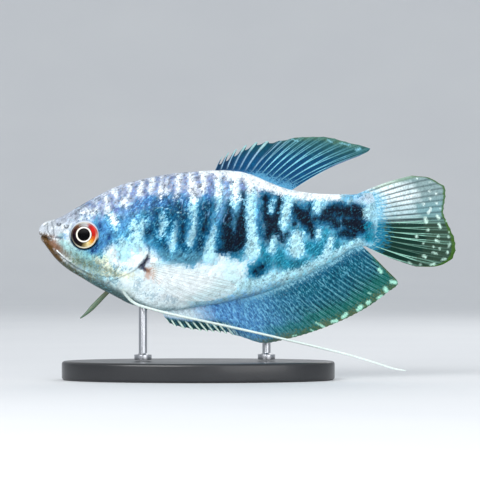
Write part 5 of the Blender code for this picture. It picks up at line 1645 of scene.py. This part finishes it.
class GOURAMI_OT_stand(bpy.types.Operator):
    """The oval base and its two rods"""

    bl_idname = "gourami.stand"
    bl_label = "Stand"

    def execute(self, context):
        display = context.scene.gourami_display
        self.build_base(display)
        steel = rod_paint(display)
        for name in ("stand_rod_front", "stand_rod_rear"):
            self.build_rod(name, steel)
        return {"FINISHED"}

    @staticmethod
    def build_base(display):
        low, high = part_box("stand_base")
        clear_selection()
        bpy.ops.mesh.primitive_cylinder_add(vertices=160, radius=0.5, depth=high.z - low.z,
                                            location=(0, 0, (high.z - low.z) / 2))
        piece = just_made("stand_base_plate")
        piece.scale = (high.x - low.x, high.y - low.y, 1.0)
        freeze()
        round_rims(piece, display.rim_radius, 6, 60)
        settle(piece, base_paint(display), "stand", "stand_base")

    @staticmethod
    def build_rod(node, paint):
        low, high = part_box(node)
        middle = (low + high) / 2
        collar = (high.x - low.x) / 2
        clear_selection()
        bpy.ops.mesh.primitive_cylinder_add(vertices=48, radius=collar, depth=COLLAR_HEIGHT,
                                            location=(middle.x, middle.y, low.z + COLLAR_HEIGHT / 2))
        piece = just_made(node.replace("stand_", "") + "_steel")
        freeze()
        start_editing(piece, "FACE", lambda face: face.normal.z > 0.9)
        bpy.ops.mesh.inset(thickness=collar - ROD_RADIUS - COLLAR_SLOPE, depth=0.0)
        bpy.ops.mesh.inset(thickness=COLLAR_SLOPE, depth=COLLAR_RISE)
        rise = high.z + ROD_SUNK - (low.z + COLLAR_HEIGHT + COLLAR_RISE)
        bpy.ops.mesh.extrude_region_move(TRANSFORM_OT_translate={"value": (0, 0, rise)})
        bpy.ops.object.mode_set(mode="OBJECT")
        round_rims(piece, ROD_EDGE, 3, 50)
        settle(piece, paint, "rod", node)


def base_paint(display):
    paint = Paint("base_lacquer", Roughness=0.32, Coat_Weight=0.3, Coat_Roughness=0.15)
    fine = paint.noise(0.5, 4.0, 0.7)
    wear = paint.noise(9.0, 3.0)
    paint.ground(paint.step(wear + fine * 0.3, -0.1, 0.4) * 0.4, display.base_colour, (46, 48, 52))
    return paint.finish(fine, 0.02, Roughness=0.34 + wear * 0.2 + fine * 0.1)


def rod_paint(display):
    paint = Paint("brushed_steel", Metallic=1.0, Roughness=0.3)
    brushed = paint.noise(0.12, 3.0, 0.7, longer=(1, 1, 50))
    paint.ground(paint.step(brushed, -0.3, 0.4), display.rod_colour, (150, 152, 158))
    return paint.finish(brushed, 0.01, Roughness=0.28 + brushed * 0.25)


class GOURAMI_OT_stage(bpy.types.Operator):
    """The pale floor and backdrop, the studio lights and the camera"""

    bl_idname = "gourami.stage"
    bl_label = "Stage"

    def execute(self, context):
        display = context.scene.gourami_display
        self.build_floor(display)
        self.build_lights(context, display)
        self.build_camera(context)
        return {"FINISHED"}

    @staticmethod
    def build_floor(display):
        clear_selection()
        bpy.ops.mesh.primitive_circle_add(vertices=128, radius=FLOOR_RADIUS, fill_type="NGON")
        floor = just_made("floor")
        start_editing(floor, "EDGE", lambda edge: edge.is_boundary)
        radius, height = FLOOR_RADIUS, 0.0
        for step in range(1, SWEEP_STEPS + 1):
            turn = math.pi / 2 * step / SWEEP_STEPS
            next_radius = FLOOR_RADIUS + SWEEP_RADIUS * math.sin(turn)
            next_height = SWEEP_RADIUS * (1 - math.cos(turn))
            bpy.ops.mesh.extrude_edges_move(
                TRANSFORM_OT_translate={"value": (0, 0, next_height - height)})
            bpy.ops.transform.resize(value=(next_radius / radius, next_radius / radius, 1.0))
            radius, height = next_radius, next_height
        bpy.ops.object.mode_set(mode="OBJECT")
        bpy.ops.object.shade_smooth()
        paint = Paint("floor", Roughness=0.75)
        paint.ground(paint.step(paint.noise(60.0, 2.0), -0.5, 0.5), display.floor_colour, (218, 220, 223))
        paint.feed(Base_Color=paint.colour)
        floor.data.materials.append(paint.material)

    @staticmethod
    def build_lights(context, display):
        world = bpy.data.worlds.new("studio")
        world.use_nodes = True
        sky = world.node_tree.nodes["Background"]
        sky.inputs["Color"].default_value = (*linear(SKY_COLOUR), 1.0)
        sky.inputs["Strength"].default_value = SKY_STRENGTH
        context.scene.world = world
        for name, power, size, spot in (
            ("key", display.key_light, 0.4, (-0.25, -0.55, 0.38)),
            ("fill", display.fill_light, 0.5, (0.35, -0.6, 0.08)),
            ("rim", 0.4 * display.fill_light, 0.4, (0.2, 0.45, 0.4)),
        ):
            clear_selection()
            bpy.ops.object.light_add(type="AREA", location=spot)
            light = just_made(name)
            light.data.energy = power
            light.data.size = size
            light.rotation_euler = (Vector(LIGHTS_AIM) - Vector(spot)).to_track_quat("-Z", "Y").to_euler()

    @staticmethod
    def build_camera(context):
        clear_selection()
        bpy.ops.object.camera_add(location=(CAMERA_X, -CAMERA_DISTANCE, CAMERA_Z),
                                  rotation=(math.pi / 2, 0, 0))
        camera = bpy.context.object
        camera.data.lens = camera.data.sensor_width * CAMERA_DISTANCE / VIEW_WIDTH
        camera.data.clip_start = 0.01
        camera.data.clip_end = 20.0
        context.scene.camera = camera
        context.scene.view_settings.view_transform = "Standard"


class GOURAMI_PT_panel(bpy.types.Panel):
    """Builds the gourami piece by piece"""

    bl_idname = "GOURAMI_PT_panel"
    bl_label = "Opaline Gourami"
    bl_space_type = "VIEW_3D"
    bl_region_type = "UI"
    bl_category = "Gourami"

    def draw(self, context):
        for operator in OPERATORS:
            self.layout.operator(operator.bl_idname)
        for settings in (context.scene.gourami_sizes, context.scene.gourami_colours,
                         context.scene.gourami_display):
            for name in settings.__annotations__:
                self.layout.prop(settings, name)


SETTINGS = {"gourami_sizes": GOURAMI_Sizes, "gourami_colours": GOURAMI_Colours,
            "gourami_display": GOURAMI_Display}
OPERATORS = (GOURAMI_OT_skin, GOURAMI_OT_scales, GOURAMI_OT_eyes, GOURAMI_OT_dorsal_fin,
             GOURAMI_OT_anal_fin, GOURAMI_OT_tail_fin, GOURAMI_OT_pectoral_fins, GOURAMI_OT_feelers,
             GOURAMI_OT_stand, GOURAMI_OT_stage)


def register():
    for cls in (*SETTINGS.values(), *OPERATORS, GOURAMI_PT_panel):
        bpy.utils.register_class(cls)
    for name, group in SETTINGS.items():
        setattr(bpy.types.Scene, name, bpy.props.PointerProperty(type=group))


def unregister():
    for name in SETTINGS:
        delattr(bpy.types.Scene, name)
    for cls in (GOURAMI_PT_panel, *reversed(OPERATORS), *SETTINGS.values()):
        bpy.utils.unregister_class(cls)


def main():
    register()
    bpy.ops.gourami.skin()
    bpy.ops.gourami.scales()
    bpy.ops.gourami.eyes()
    bpy.ops.gourami.dorsal_fin()
    bpy.ops.gourami.anal_fin()
    bpy.ops.gourami.tail_fin()
    bpy.ops.gourami.pectoral_fins()
    bpy.ops.gourami.feelers()
    bpy.ops.gourami.stand()
    bpy.ops.gourami.stage()


if __name__ == "__main__":
    main()
